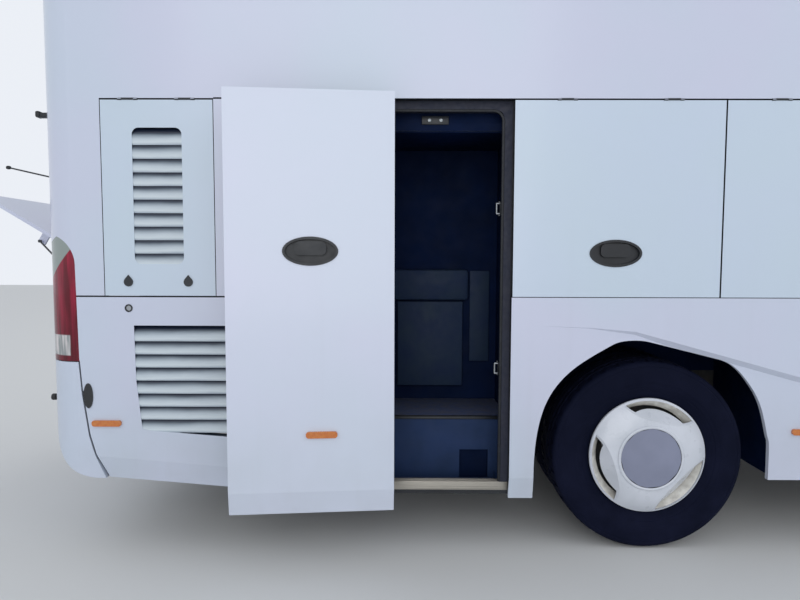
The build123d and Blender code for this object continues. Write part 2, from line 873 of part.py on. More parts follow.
class ArmDoor:
    """A right-hand door on a turning column with two goose-necked arms.

    It swings out and along the side. way is -1 when the open door stands behind
    its opening, 1 when it stands ahead of it.
    """

    def __init__(self, x0, x1, arm_length, way, levels):
        self.way = way
        self.levels = levels
        self.swing = way * door_swing
        hinge_edge = x0 if way < 0 else x1
        self.column = (hinge_edge - way * arm_pivot_ahead, -half_width + arm_pivot_inset)
        angle = math.radians(arm_closed_angle)
        self.pin = (
            self.column[0] - way * arm_length * math.cos(angle),
            self.column[1] + arm_length * math.sin(angle),
        )
        out = arm_length * math.sin(math.radians(door_swing) - angle)
        self.elbow = turn((self.column[0], self.column[1] - out), self.column, -self.swing)

    def swung(self, shape):
        """From the closed place to the open one, as the arm goes."""
        return shape.rotate(Axis((*self.column, 0), (0, 0, 1)), self.swing)

    def carried(self, shape):
        """From the closed place to the open one, as the door goes."""
        pin = Axis((*self.pin, 0), (0, 0, 1))
        return self.swung(shape.rotate(pin, -self.swing - self.way * door_toe))

    def arm(self, z0, z1):
        """The column and its arms, closed."""
        made = bar((*self.column, z0), (*self.column, z1), column_radius)
        half = arm_thick / 2
        for z in self.levels:
            made += bar((*self.column, z), (*self.elbow, z), half)
            made += bar((*self.elbow, z), (*self.pin, z), half)
            made += Pos(*self.elbow, z) * Sphere(half + 2)
            made += bar((*self.pin, z - arm_height / 2), (*self.pin, z + arm_height / 2), 20)
        for z in self.levels:
            made -= bar((*self.pin, z - arm_height), (*self.pin, z + arm_height), 8 + running_clearance)
        return made

    def brackets(self, door_y):
        """The pins and plates that hold the door on its arms."""
        made = []
        x, y = self.pin
        for z in self.levels:
            reach = arm_height / 2 + 3 + bracket_thick
            piece = bar((x, y, z - reach), (x, y, z + reach), 8)
            for low in (z - reach, z + reach - bracket_thick):
                piece += block(x - 24, x + 24, door_y - 2, y, low, low + bracket_thick)
                piece += bar((x, y, low), (x, y, low + bracket_thick), 24)
            made.append(piece)
        return joined(made)

    def bearing(self, z0, z1):
        """Blocks on the door frame that the column turns in."""
        made = []
        x, y = self.column
        jamb = x + self.way * (arm_pivot_ahead + frame_lap)
        for low in (z0, z1 - 30):
            plate = block(min(x, jamb), max(x, jamb), y - 34, y + 34, low, low + 30)
            plate += bar((x, y, low), (x, y, low + 30), 34)
            edge = x + self.way * (arm_pivot_ahead + 2)
            plate += block(min(edge, jamb), max(edge, jamb), -inside, y + 34, low, low + 30)
            made.append(plate)
        column = bar((x, y, z0 - 5), (x, y, z1 + 5), column_radius + running_clearance)
        return joined(made) - column


column_z = (400, 2180)
door_inner_y = -half_width + door_thick
tall = ArmDoor(door_rear_x, door_front_x, tall_arm_length, -1, (950, 2050))
door_middle = (door_rear_x + door_front_x) / 2
door_handle = (door_middle, 1565)
door_marker = (door_rear_x + 0.56 * (door_front_x - door_rear_x), 680)
tall_door = side_slice(
    door_skin, door_rear_x + skin_gap, door_front_x - skin_gap, skirt_rear, flap_top - skin_gap, -1
)
tall_door -= folds
tall_door = tall_door - handle_cut(*door_handle, -1) + handle(*door_handle, -1)
tall_door += marker(*door_marker, -1)
tall_door += tall.brackets(door_inner_y)
tall_door = tall.carried(tall_door)
tall_door_arm = tall.swung(tall.arm(column_z[0] + 2, column_z[1] - 2))

front_pass = ArmDoor(*front_door_x, front_arm_length, 1, (560, 2138))
pass_column_z = (412, 2186)
pass_z = (passenger_door_z[0] + skin_gap, passenger_door_z[1] - skin_gap)
pass_glass = (front_door_x[0] + 48, front_door_x[1] - 48, 640, 2110)
pass_edge = 40
front_door = side_slice(
    door_skin, front_door_x[0] + skin_gap, front_door_x[1] - skin_gap, *pass_z, -1
)
front_door_glass = side_slice(
    glass_skin, pass_glass[0] + pane_gap, pass_glass[1] - pane_gap,
    pass_glass[2] + pane_gap, pass_glass[3] - pane_gap, -1,
)
front_door -= side_slice(glass_skin, *pass_glass, -1)
front_door -= side_opening(
    pass_glass[0] + pass_edge, pass_glass[1] - pass_edge,
    pass_glass[2] + pass_edge, pass_glass[3] - pass_edge, -1,
)
front_door += front_pass.brackets(door_inner_y)
front_door_arm = front_pass.arm(pass_column_z[0] + 2, pass_column_z[1] - 2)

# Frame, sill and steps of the tall locker, and the bearings of the front door.
frame_inset = (50, 110)
jamb_front = 45
jamb_top = 48
jamb_rear = 18
frame_head = flap_top + frame_lap
tall_face = polygon(
    (door_rear_x - frame_lap, step_top + 1),
    (door_rear_x - frame_lap, frame_head),
    (door_front_x + frame_lap, frame_head),
    (door_front_x + frame_lap, step_top + 1),
)
tall_face -= rounded(
    door_rear_x + jamb_rear, door_front_x - jamb_front, step_top - 200, flap_top - jamb_top, 30
)
door_frames = side_prism(tall_face, -half_width + frame_inset[0], -half_width + frame_inset[1])
door_frames += tall.bearing(*column_z)
door_frames += front_pass.bearing(*pass_column_z)
vestibule_y = -half_width + vestibule_depth
step_y = -half_width + step_depth
sill_low = 296
step_x = (door_rear_x - frame_lap, door_front_x + frame_lap)
tall_door_step = block(*step_x, -inside, step_y, sill_low, step_top)
tall_door_step += block(*step_x, step_y - 20, step_y + 20, sill_low, tread_top)
tall_door_step += block(*step_x, step_y - 20, vestibule_y, tread_top - 30, tread_top)
well_floor = step_top - step_well
tall_door_step -= block(
    door_rear_x + jamb_rear, door_front_x - jamb_front, -inside + sill_width, step_y - 20,
    well_floor, step_top + 1,
)
tall_door_step -= block(
    step_niche[0], step_niche[1], step_y - 25, step_y + 5, well_floor, well_floor + step_niche[2]
)

# Chassis: a raised frame over the rear axle, and a low one ahead of it. Its
# members butt against each other, so each is a plain length of section.
rail_y = (wheel_house_y - 195, wheel_house_y - 115)
rail_z = (640, 820)
low_rail_z = (200, lower_floor_top - floor_thick)
rail_rear_x = -3050
rail_end_x = lower_rear_wall_x - 20
post_x = (rail_end_x - 80, rail_end_x)
low_rear_x = (rail_end_x, wheelbase - 650)
low_front_x = (wheelbase + 650, front_x - 380 - tow_block)
tow_x = (low_front_x[1], low_front_x[1] + tow_block)
cross_z = (rail_z[0] + 20, rail_z[1] - 20)
outrigger_z = (rail_z[0] + 20, rail_z[0] + 100)
strut_post_y = (strut_y + 20, strut_y + 60)
members = []


def pair(x0, x1, y0, y1, z0, z1):
    """The same member on the right and on the left."""
    return [block(x0, x1, side * y0, side * y1, z0, z1) for side in (-1, 1)]


members += pair(rail_rear_x, post_x[0], *rail_y, *rail_z)
members += pair(*post_x, *rail_y, low_rail_z[0], rail_z[1])
members += pair(*low_rear_x, *rail_y, *low_rail_z)
members += pair(*low_front_x, *rail_y, *low_rail_z)
tow_y, tow_z = sum(rail_y) / 2, sum(low_rail_z) / 2
for side in (-1, 1):
    socket = bar(
        (tow_x[1] - tow_socket_depth, side * tow_y, tow_z), (tow_x[1] + 10, side * tow_y, tow_z),
        tow_socket_radius,
    )
    members.append(block(*tow_x, side * rail_y[0], side * rail_y[1], *low_rail_z) - socket)
for x in (rail_rear_x + 50, -1960, -690, rail_end_x - 40):
    members.append(block(x - 40, x + 40, -rail_y[0], rail_y[0], *cross_z))
for x in (base_x, -1930, rail_end_x - 40):
    members += pair(x - 40, x + 40, rail_y[1], inside - 4, *outrigger_z)
cross_member_pitch = 1000
cross_members = [low_rear_x[0] + 770 + i * cross_member_pitch for i in range(4)]
for x in (*cross_members, wheelbase + 750, front_x - 550):
    members.append(block(x - 35, x + 35, -rail_y[0], rail_y[0], low_rail_z[0] + 60, low_rail_z[1]))
    members += pair(x - 35, x + 35, rail_y[1], inside - 120, low_rail_z[0] + 60, low_rail_z[1])
for side in (-1, 1):
    post = block(
        base_x - 30, base_x + 30, side * strut_post_y[0], side * strut_post_y[1],
        outrigger_z[1], base_z + 22,
    )
    members.append(
        post + cross_bar(base_x, base_z, side * (strut_y - 12), side * strut_post_y[1], 7)
    )
chassis_frame = Compound(members)

# Decks. The lower one has boxes over the front wheels, the upper one a stairwell.
floor_low = lower_floor_top - floor_thick
lower_floor = inner & block(
    lower_rear_wall_x, front_x, -half_width, half_width, floor_low, lower_floor_top
)
house_x = (wheelbase - front_house_half, wheelbase + front_house_half)
house_outer_x = (house_x[0] - panel_thick, house_x[1] + panel_thick)
house_top = 1180
lower_floor -= both(*house_outer_x, wheel_house_y - panel_thick, half_width, 0, lower_floor_top + 1)
house = both(*house_outer_x, wheel_house_y - panel_thick, inside, floor_low, house_top)
house -= both(*house_x, wheel_house_y, half_width, 0, house_top - panel_thick)
lower_floor += house
entry_x = (front_door_x[0] + 30, front_door_x[1] - 20)
entry_y = -half_width + 420
entry_top = floor_low
lower_floor -= block(*entry_x, -half_width, entry_y, 0, lower_floor_top + 1)
lower_floor += block(
    entry_x[0] - 20, entry_x[1] + 20, -inside, entry_y + 20, entry_top - 40, entry_top
)
lower_floor += block(*entry_x, entry_y, entry_y + 20, entry_top - 40, lower_floor_top)

stair_x = (3000, 4450)
stair_y = (520, inside - 45)
stair_count = 8
upper_deck = inner & block(
    rear_x, front_x, -half_width, half_width, upper_floor_top - upper_floor_thick, upper_floor_top
)
upper_deck -= block(*stair_x, *stair_y, 0, upper_floor_top + 1)
ledge_top = flap_top + 40
ledge_width = 45
upper_deck += inner & both(
    rear_split, front_split, inside - ledge_width, half_width, upper_floor_top - 10, ledge_top
)
upper_deck -= block(*step_x, -half_width, -half_width + frame_inset[1], 0, frame_head)
stair_rise = (upper_floor_top - lower_floor_top) / (stair_count + 1)
stair_run = (stair_x[1] - stair_x[0]) / stair_count
for i in range(stair_count):
    x1 = stair_x[0] + (i + 1) * stair_run
    top = upper_floor_top - (i + 1) * stair_rise
    upper_deck += block(x1 - stair_run - 30, x1, *stair_y, top - 45, top)
upper_deck += side_prism(
    polygon(
        (stair_x[0] - 60, upper_floor_top - 220),
        (stair_x[0] - 60, upper_floor_top - 2),
        (stair_x[0] + 100, upper_floor_top - 2),
        (stair_x[1] + 60, lower_floor_top + 190),
        (stair_x[1] + 60, lower_floor_top),
        (stair_x[1] - 90, lower_floor_top),
    ),
    stair_y[0] - 40,
    stair_y[0],
)

# Bulkheads: engine wall, locker floor, locker walls, rear wall of the lower deck.
ceiling = upper_floor_top - upper_floor_thick
luggage_rear_x = step_x[1] + panel_thick
locker_floor_low = locker_floor_top - 30
panels = [
    block(engine_wall_x - panel_thick, engine_wall_x, -inside, inside, rail_z[1], ceiling),
    block(
        lower_rear_wall_x - panel_thick, lower_rear_wall_x, -inside, inside, lower_floor_top, ceiling
    ),
    block(
        luggage_rear_x, lower_rear_wall_x - panel_thick, -inside, inside,
        locker_floor_low, locker_floor_top,
    ),
    block(step_x[1], luggage_rear_x, vestibule_y, inside, rail_z[1], ceiling),
    block(step_x[0] - panel_thick, step_x[0], -inside, vestibule_y, sill_low, ceiling),
    block(step_x[1], luggage_rear_x, -inside, vestibule_y, sill_low, ceiling),
    block(
        step_x[0] - panel_thick, step_x[1], vestibule_y, vestibule_y + panel_thick,
        sill_low, ceiling,
    ),
]
rear_house = (-652, 662)
house_low = rail_z[1] + 20
for x in (rear_house[0] - panel_thick, rear_house[1]):
    panels += pair(x, x + panel_thick, wheel_house_y, inside, skirt_mid, locker_floor_low)
panels += pair(
    rear_house[0] - panel_thick, rear_house[1] + panel_thick, wheel_house_y - panel_thick,
    wheel_house_y, house_low, locker_floor_low,
)
bulkheads = Compound(panels)

# Engine and gearbox as one plain block, and the exhaust.
engine_block = block(-2960, -2100, -360, 360, 470, 1330)
for x in (-2850, -2250):
    engine_block += both(x - 60, x + 60, 350, rail_y[0], rail_z[0] + 30, rail_z[1] - 40)
exhaust_y = rail_y[1] + 180
exhaust = bar((-2660, exhaust_y, 560), (-2120, exhaust_y, 560), 140)
exhaust += bar((-2650, exhaust_y, 540), (-2770, exhaust_y, 345), 40)
exhaust += Pos(-2770, exhaust_y, 345) * Sphere(40)
exhaust += bar((-2770, exhaust_y, 345), (-2900, exhaust_y, 325), 40)
exhaust += block(-2480, -2440, rail_y[1], exhaust_y - 40, 650, 700)


# Wheels
def turned(face, x, y):
    """A ring turned about a wheel's axle, from its section in Y and radius."""
    return Pos(x, y, tyre_radius) * revolve(Plane.YZ * face, Axis.Y)


tread_drop = 4
bead_half = 110.5
bead_rise = 14
flange_thick = 10
flange_rise = 12


def tyre(x, y):
    """One tyre: flat tread, round shoulders, bulged walls, beads on the rim."""
    half = tyre_width / 2
    crown_half = half - 34
    crown = Line((-crown_half, tyre_radius), (crown_half, tyre_radius))
    edges = [crown, Line((-bead_half, rim_radius), (bead_half, rim_radius))]
    for way in (-1, 1):
        top = (way * crown_half, tyre_radius)
        shoulder = ThreePointArc(top, (way * (half - 11), tyre_radius - 13), (way * (half - 3), tyre_radius - 44))
        side = ThreePointArc(
            shoulder @ 1, (way * half, tyre_radius - 120), (way * bead_half, rim_radius + bead_rise)
        )
        edges += [shoulder, side, Line(side @ 1, (way * bead_half, rim_radius))]
    return turned(outline(*edges), x, y)


hub_bore = 46
rear_hub_bore = 86
trim_radius = 304
trim_face = tyre_width / 2 - 9
trim_thick = 7
cap_radius = 156
cap_proud = 58
cap_face = 53
slot_count = 3
slot_first = 77
slot_reach = 292
scoop_start = 184
scoop_top = 53
scoop_slope = 1.1
scoop_reach = 246
gutter_reach = 258
gutter_depth = 42


def barrel(x, y):
    """A rim between its two flanges."""
    end = bead_half + flange_thick
    low = rim_radius - rim_thick
    high = rim_radius + flange_rise
    return turned(
        polygon(
            (-end, low), (-end, high), (-bead_half, high), (-bead_half, rim_radius),
            (bead_half, rim_radius), (bead_half, high), (end, high), (end, low),
        ),
        x, y,
    )


def trim_outside(side, under=0):
    """The cover's outer line, or one a little under it: edge, dome, collar and cap."""

    def at(out, radius):
        return (side * (trim_face + out - under), radius)

    collar = cap_radius + 16
    crown = cap_proud - 8
    middle = (trim_radius + collar) / 2
    return [
        Line(at(-10, trim_radius), at(-3, trim_radius)),
        ThreePointArc(at(-3, trim_radius), at(1, trim_radius - 2), at(3, trim_radius - 6)),
        ThreePointArc(at(3, trim_radius - 6), at(0.62 * crown + 4, middle), at(crown, collar)),
        ThreePointArc(at(crown, collar), at(cap_proud, collar - 8), at(cap_proud - 3, cap_radius)),
        Line(at(cap_proud - 3, cap_radius), at(cap_face, cap_radius - 1)),
        Line(at(cap_face, cap_radius - 1), at(cap_face, 0)),
    ]


def wheel_trim(x, y, side):
    """The domed white cover with a collar round its cap and three scooped slots."""

    def at(out, radius):
        return (side * (trim_face + out), radius)

    collar = cap_radius + 14
    crown = cap_proud - 8 - trim_thick
    middle = (trim_radius + collar) / 2
    ring_in, ring_out = slot_reach, slot_reach + 4
    seat = bead_half + 4 - trim_face
    back = -cap_proud - 10
    inside_line = Polyline(
        at(cap_face, 0), at(cap_face - 6, 0), at(cap_face - 6, cap_radius - 6), at(crown, collar)
    )
    lining = ThreePointArc(at(crown, collar), at(0.62 * crown, middle), at(1, ring_in))
    ring = Polyline(
        at(1, ring_in), at(seat, ring_in), at(seat, ring_out), at(-4, ring_out),
        at(-10, trim_radius - 3), at(-10, trim_radius),
    )
    cover = turned(outline(*trim_outside(side), inside_line, lining, ring), x, y)
    gutter = turned(
        polygon(
            at(-3, ring_in - 1), at(-gutter_depth, gutter_reach), at(-gutter_depth - 4, gutter_reach + 3),
            at(-7, ring_out - 1), at(-3, ring_out - 1),
        ),
        x, y,
    )
    under = trim_thick / 2
    filled = Polyline(
        at(cap_face - under, 0), at(back, 0), at(back, trim_radius), at(-10 - under, trim_radius)
    )
    room = turned(outline(*trim_outside(side, under), filled), x, y)
    low = y + side * (trim_face + back)
    high = y + side * (trim_face + 2 * cap_proud)
    wheel = Pos(x, tyre_radius)
    slot_room = side_prism(wheel * Circle(slot_reach), low, high)
    scoop_room = side_prism(wheel * Circle(scoop_reach), low, high)
    far_radius = trim_radius + 20
    head = (scoop_start, side * (trim_face + scoop_top))
    foot = (far_radius, head[1] - side * scoop_slope * (far_radius - scoop_start))
    cuts, scoops = [], []
    for i in range(slot_count):
        spot = Pos(x, y, tyre_radius) * Rot(0, -(slot_first + i * 360 / slot_count), 0)
        wedge = polygon(head, foot, (foot[0], head[1] + side * cap_proud), (head[0], head[1] + side * cap_proud))
        floor = polygon(head, foot, (foot[0], foot[1] - side * 5), (head[0], head[1] - side * 5))
        cuts.append(spot * plan_prism(wedge, -trim_radius, trim_radius) & slot_room)
        scoops.append(spot * plan_prism(floor, -trim_radius, trim_radius) & scoop_room)
    return cover - joined(cuts) + (joined(scoops) & room) + gutter


bolt_count = 10
bolt_circle = 167.5


def disc(x, y, side, offset_y, bore, hub_radius):
    """The wheel's plate with its hub, bolt holes and bore."""
    plate = Circle(rim_radius - rim_thick + 1) - Circle(bore)
    for i in range(bolt_count):
        hole = turn((bolt_circle, 0), (0, 0), i * 360 / bolt_count)
        plate -= Pos(*hole) * Circle(12)
    hub = Circle(hub_radius) - Circle(bore)
    here = y + side * offset_y
    made = side_prism(Pos(x, tyre_radius) * plate, here - 6, here + 6)
    return made + side_prism(Pos(x, tyre_radius) * hub, here - side * 34, here + side * 10)



def front_wheel(side):
    y = side * wheel_y
    bore = hub_bore + running_clearance
    return tyre(wheelbase, y), barrel(wheelbase, y) + disc(wheelbase, y, side, 60, bore, 110) + wheel_trim(wheelbase, y, side)


def rear_wheel(side):
    y = side * wheel_y
    twin = y - side * twin_spacing
    made = barrel(0, y) + barrel(0, twin)
    made += disc(0, y, side, -60, rear_hub_bore + running_clearance, 140)
    link = Circle(rim_radius - rim_thick + 1) - Circle(rim_radius - rim_thick - 12)
    made += side_prism(
        Pos(0, tyre_radius) * link, y - side * (bead_half - 4), twin + side * (bead_half - 4)
    )
    return tyre(0, y) + tyre(0, twin), made + wheel_trim(0, y, side)


# Axles. The front one is a dropped beam with an eye for each kingpin.
axle_z = tyre_radius
kingpin_y = half_width - kingpin_inset
beam_z = (190, 310)
eye_half = 80
eye_radius = 42
kingpin_radius = 20
front_axle = block(wheelbase - 55, wheelbase + 55, -700, 700, *beam_z)
front_axle += both(wheelbase - 55, wheelbase + 55, 600, 700, beam_z[0], axle_z + 50)
for side in (-1, 1):
    y = side * kingpin_y
    front_axle += block(wheelbase - 40, wheelbase + 40, side * 640, y, axle_z - 50, axle_z + 50)
    front_axle += bar((wheelbase, y, axle_z - eye_half), (wheelbase, y, axle_z + eye_half), eye_radius)
    front_axle -= bar(
        (wheelbase, y, axle_z - eye_half - 5), (wheelbase, y, axle_z + eye_half + 5),
        kingpin_radius + running_clearance,
    )
front_axle += both(wheelbase - 330, wheelbase + 330, 440, 520, beam_z[0], beam_z[0] + 40)
for x in (wheelbase - 260, wheelbase + 260):
    for side in (-1, 1):
        front_axle += bar((x, side * 480, beam_z[0] + 38), (x, side * 480, floor_low), 66)


def knuckle(side):
    """A fork about the kingpin, with the stub that the wheel turns on."""
    y = side * kingpin_y
    low, high = axle_z - eye_half - 34, axle_z + eye_half + 34
    made = bar((wheelbase, y, low), (wheelbase, y, high), kingpin_radius)
    for foot in (low, high - 30):
        made += bar((wheelbase, y, foot), (wheelbase, y, foot + 30), 44)
        made += block(wheelbase - 35, wheelbase + 35, y, y + side * 90, foot, foot + 30)
    made += block(wheelbase - 35, wheelbase + 35, y + side * 60, y + side * 95, low, high)
    return made + cross_bar(wheelbase, axle_z, y + side * 90, y + side * 200, hub_bore)


rear_axle = cross_bar(0, axle_z, -500, 500, 100)
rear_axle += cross_bar(0, axle_z, -wheel_y + 6, wheel_y - 6, rear_hub_bore)
rear_axle += Pos(0, 0, axle_z) * Sphere(215)
rear_axle += both(-430, 430, rail_y[0] + 20, rail_y[1] + 20, axle_z - 130, axle_z - 70)
for x in (-400, 400):
    for side in (-1, 1):
        rear_axle += bar((x, side * (rail_y[1] - 20), axle_z - 72), (x, side * (rail_y[1] - 20), rail_z[0]), 110)

# Seats: pairs on pedestals, on both decks, and the driver's.
seat_width = 455
seat_pitch = 790
seat_back = 720
upper_row_start = -2450
upper_row_count = int((front_x - 900 - upper_row_start) / seat_pitch)
lower_row_start = 2000


def seat(x, y, floor_z, count=2):
    """A pair of reclining seats that face forward, on one pedestal."""
    half = seat_width * count / 2
    cushion = rounded(x - 230, x + 250, floor_z + 330, floor_z + 450, 50)
    back = Pos(x - 270, floor_z + 400 + seat_back / 2) * (
        Rot(0, 0, 10) * RectangleRounded(115, seat_back, 50)
    )
    foot = block(x - 160, x + 160, y - 60, y + 60, floor_z, floor_z + 330)
    cushion = side_prism(cushion, y - half, y + half)
    return [foot, cushion, side_prism(back, y - half, y + half) - cushion]


seats = []
row_y = inside - 60 - seat_width
for i in range(upper_row_count):
    x = upper_row_start + i * seat_pitch
    seats += seat(x, -row_y, upper_floor_top)
    if not stair_x[0] - 420 < x < stair_x[1] + 310:
        seats += seat(x, row_y, upper_floor_top)
for i in range(4):
    seats += seat(lower_row_start + i * seat_pitch, -row_y, lower_floor_top)
seats += seat(lower_row_start, row_y, lower_floor_top)
driver_x = front_x - 1290
driver_y = 700
seats += seat(driver_x, driver_y, lower_floor_top, 1)

# Dashboard and steering wheel.
dashboard = inner & block(front_x - 670, front_x, -half_width, half_width, 880, 1060)
dashboard += block(front_x - 660, front_x - 510, 260, inside - 75, lower_floor_top, 960)
steer_centre = (front_x - 830, driver_y, 1130)
tilt = Plane(origin=steer_centre, z_dir=(-0.5, 0, 0.87))
steering = tilt * Torus(225, 16)
for angle in (90, 210, 330):
    steering += tilt * (Rot(0, 0, angle) * (Pos(112, 0, 0) * Box(224, 34, 12)))
steering += tilt * Cylinder(50, 30)
steering += bar((front_x - 822, driver_y, 1116), (front_x - 620, driver_y, 765), 32)
dashboard += steering

# Mirrors on the front corners, and side marker lamps.
mirror_reach = 260
mirror_half = 120


def mirror_arm(side):
    """An arm from the front corner out to a hanging mirror."""
    y0 = side * (half_width - 250)
    y1 = side * (half_width + mirror_reach - mirror_half)
    x = front_x - 170
    points = [(x - 130, y0, 2420), (x - 20, y0 + side * 200, 2440), (x, y1, 2400), (x, y1, 2180)]
    arm = bar(points[0], points[1], 24)
    for start, end in zip(points[1:], points[2:]):
        arm += Pos(*start) * Sphere(24)
        arm += bar(start, end, 24)
    head = Pos(x, y1, 1960) * extrude(RectangleRounded(95, 2 * mirror_half, 40), amount=230, both=True)
    return arm + head


mirrors = mirror_arm(-1) + mirror_arm(1) - outer
marker_stations = [
    # x, z, set-back on the crease
    (-2813, 678, 0),
    (803, 642, crease_depth),
    (3000, 640, 0),
    (wheelbase - 1300, 640, 0),
]
markers = [
    marker(x, z, side, depth) for x, z, depth in marker_stations for side in (-1, 1)
]

parts = {
    "chassis_frame": chassis_frame,
    "lower_floor": lower_floor,
    "upper_deck": upper_deck,
    "side_wall_right": side_wall_right,
    "side_wall_left": side_wall_left,
    "roof_shell": roof_shell,
    "front_shell": front_shell,
    "rear_shell": rear_shell,
    "bulkheads": bulkheads,
    "door_frames": door_frames,
    "tall_door_step": tall_door_step,
    "windows": Compound(window_list),
    "windscreens": Compound(windscreens),
    "front_bumper": front_bumper,
    "rear_bumper": rear_bumper,
    "headlamps": headlamps,
    "tail_lamps": tail_lamps,
    "marker_lamps": Compound(markers),
    "mirrors": mirrors,
    "seats": Compound(seats),
    "dashboard": dashboard,
    "engine_block": engine_block,
    "exhaust": exhaust,
    "front_axle": front_axle,
    "rear_axle": rear_axle,
    "tall_door": tall_door,
    "tall_door_arm": tall_door_arm,
    "front_door": front_door,
    "front_door_glass": front_door_glass,
    "front_door_arm": front_door_arm,
    "engine_lid": engine_lid,
    "strut_tubes": strut_tubes,
    "strut_rods": strut_rods,
}
for side, hand in ((-1, "right"), (1, "left")):
    parts[f"grille_flap_{hand}"] = grille_flap(side)
    for name, x0, x1, centre in lockers:
        parts[f"locker_flap_{name}_{hand}"] = locker_flap(x0, x1, centre, side)
    parts[f"knuckle_{hand}"] = knuckle(side)
    for name, wheel in (("front", front_wheel), ("rear", rear_wheel)):
        rubber, metal = wheel(side)
        parts[f"tyre_{name}_{hand}"] = rubber
        parts[f"wheel_{name}_{hand}"] = metal

# The middle of the footprint, with the engine lid raised, becomes the origin.
lid_reach = parts["engine_lid"].bounding_box().min.X
middle_x = round((front_x + lid_reach) / 2, 2)
for name, shape in parts.items():
    export_step(Pos(-middle_x, 0, 0) * shape, f"parts/{name}.step")
print("origin is", round(middle_x, 3), "ahead of the rear axle")
print("lid reaches", round(lid_reach, 3), "strut", round(strut_length, 2), round(strut_closed, 2))
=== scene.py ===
import json
import math

import bpy
from mathutils import Matrix, Vector


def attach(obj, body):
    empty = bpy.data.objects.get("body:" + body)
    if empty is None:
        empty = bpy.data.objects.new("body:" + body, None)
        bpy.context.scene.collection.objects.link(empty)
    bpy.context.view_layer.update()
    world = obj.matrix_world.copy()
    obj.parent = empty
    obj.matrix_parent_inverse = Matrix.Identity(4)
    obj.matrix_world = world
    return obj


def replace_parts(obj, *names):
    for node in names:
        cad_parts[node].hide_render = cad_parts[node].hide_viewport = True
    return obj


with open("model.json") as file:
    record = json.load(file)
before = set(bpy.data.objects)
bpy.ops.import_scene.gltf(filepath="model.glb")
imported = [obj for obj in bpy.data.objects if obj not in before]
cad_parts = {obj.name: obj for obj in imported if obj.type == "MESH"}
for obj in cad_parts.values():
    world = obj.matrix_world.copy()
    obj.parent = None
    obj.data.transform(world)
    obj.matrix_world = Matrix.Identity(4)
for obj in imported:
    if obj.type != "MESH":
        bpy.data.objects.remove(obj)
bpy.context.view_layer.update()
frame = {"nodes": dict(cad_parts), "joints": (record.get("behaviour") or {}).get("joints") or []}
nodes = frame["nodes"]
rearAxle = next(j["pos_m"][0] for j in frame["joints"] if j["name"] == "roll_rear_right")
coach = {"half": 1275, "axleGap": 6100, "wheelHeight": 504}


def place(x, y, z):  # millimetres from the rear axle line, the middle and the floor
    return Vector((rearAxle + x / 1000, y / 1000, z / 1000))


def turnAbout(x, y, centre, degrees):
    a = math.radians(degrees)
    u, v = x - centre[0], y - centre[1]
    return centre[0] + u * math.cos(a) - v * math.sin(a), centre[1] + u * math.sin(a) + v * math.cos(a)


camera = {
    "x": -1279,
    "y": -4360,
    "height": 1529,
    "pitch": -3.855,
    "yaw": -0.395,
    "roll": 0.164,
    "focalPixels": 608,
    "pictureWidth": 800,
}


def makeCamera():
    data = bpy.data.cameras.new("camera")
    data.sensor_width = 36
    data.lens = 36 * camera["focalPixels"] / camera["pictureWidth"]
    data.clip_end = 200
    shot = bpy.data.objects.new("camera", data)
    bpy.context.scene.collection.objects.link(shot)
    turn = Matrix.Rotation(math.radians(-camera["yaw"]), 4, "Z")
    turn @= Matrix.Rotation(math.radians(90 + camera["pitch"]), 4, "X")
    turn @= Matrix.Rotation(math.radians(camera["roll"]), 4, "Z")
    shot.matrix_world = Matrix.Translation(place(camera["x"], camera["y"], camera["height"])) @ turn
    bpy.context.scene.camera = shot


makeCamera()
print("camera is set")


def colour(hexCode):
    value = hexCode.lstrip("#")
    parts = [int(value[i : i + 2], 16) / 255 for i in (0, 2, 4)]
    return (*[c / 12.92 if c <= 0.04045 else ((c + 0.055) / 1.055) ** 2.4 for c in parts], 1.0)


def addNode(tree, kind, settings=None, inputs=None):
    node = tree.nodes.new(kind)
    for key, value in (settings or {}).items():
        setattr(node, key, value)
    for key, value in (inputs or {}).items():
        if isinstance(value, bpy.types.NodeSocket):
            tree.links.new(value, node.inputs[key])
        else:
            node.inputs[key].default_value = value
    return node


def newMaterial(name, **shaderValues):
    material = bpy.data.materials.new(name)
    material.use_nodes = True
    tree = material.node_tree
    tree.nodes.clear()
    shader = addNode(tree, "ShaderNodeBsdfPrincipled")
    addNode(tree, "ShaderNodeOutputMaterial", inputs={"Surface": shader.outputs[0]})
    for key, value in shaderValues.items():
        shader.inputs[key.replace("_", " ")].default_value = value
    return material, tree, shader


def spots(tree, millimetres, detail=3.0, stretch=(1, 1, 1)):  # noise whose blobs are about that wide
    here = addNode(tree, "ShaderNodeTexCoord")
    mapped = addNode(
        tree, "ShaderNodeMapping", inputs={"Vector": here.outputs["Object"], "Scale": stretch}
    )
    noise = {"Vector": mapped.outputs[0], "Scale": 1000 / millimetres, "Detail": detail}
    return addNode(tree, "ShaderNodeTexNoise", inputs=noise).outputs["Fac"]


def share(tree, value, low, high, least=0.0, most=1.0):
    span = {"Value": value, "From Min": low, "From Max": high, "To Min": least, "To Max": most}
    return addNode(tree, "ShaderNodeMapRange", inputs=span).outputs[0]


def combine(tree, operation, first, second):
    return addNode(tree, "ShaderNodeMath", {"operation": operation}, {0: first, 1: second}).outputs[0]


def blendTones(tree, amount, first, second):
    mixed = addNode(
        tree, "ShaderNodeMix", {"data_type": "RGBA"}, {"Factor": amount, "A": first, "B": second}
    )
    return mixed.outputs["Result"]


def axes(tree):
    here = addNode(tree, "ShaderNodeTexCoord")
    return addNode(tree, "ShaderNodeSeparateXYZ", inputs={0: here.outputs["Object"]}).outputs


def giveBump(tree, shader, height, millimetres):
    lifted = addNode(tree, "ShaderNodeBump", inputs={"Height": height, "Distance": millimetres / 1000})
    tree.links.new(lifted.outputs[0], shader.inputs["Normal"])


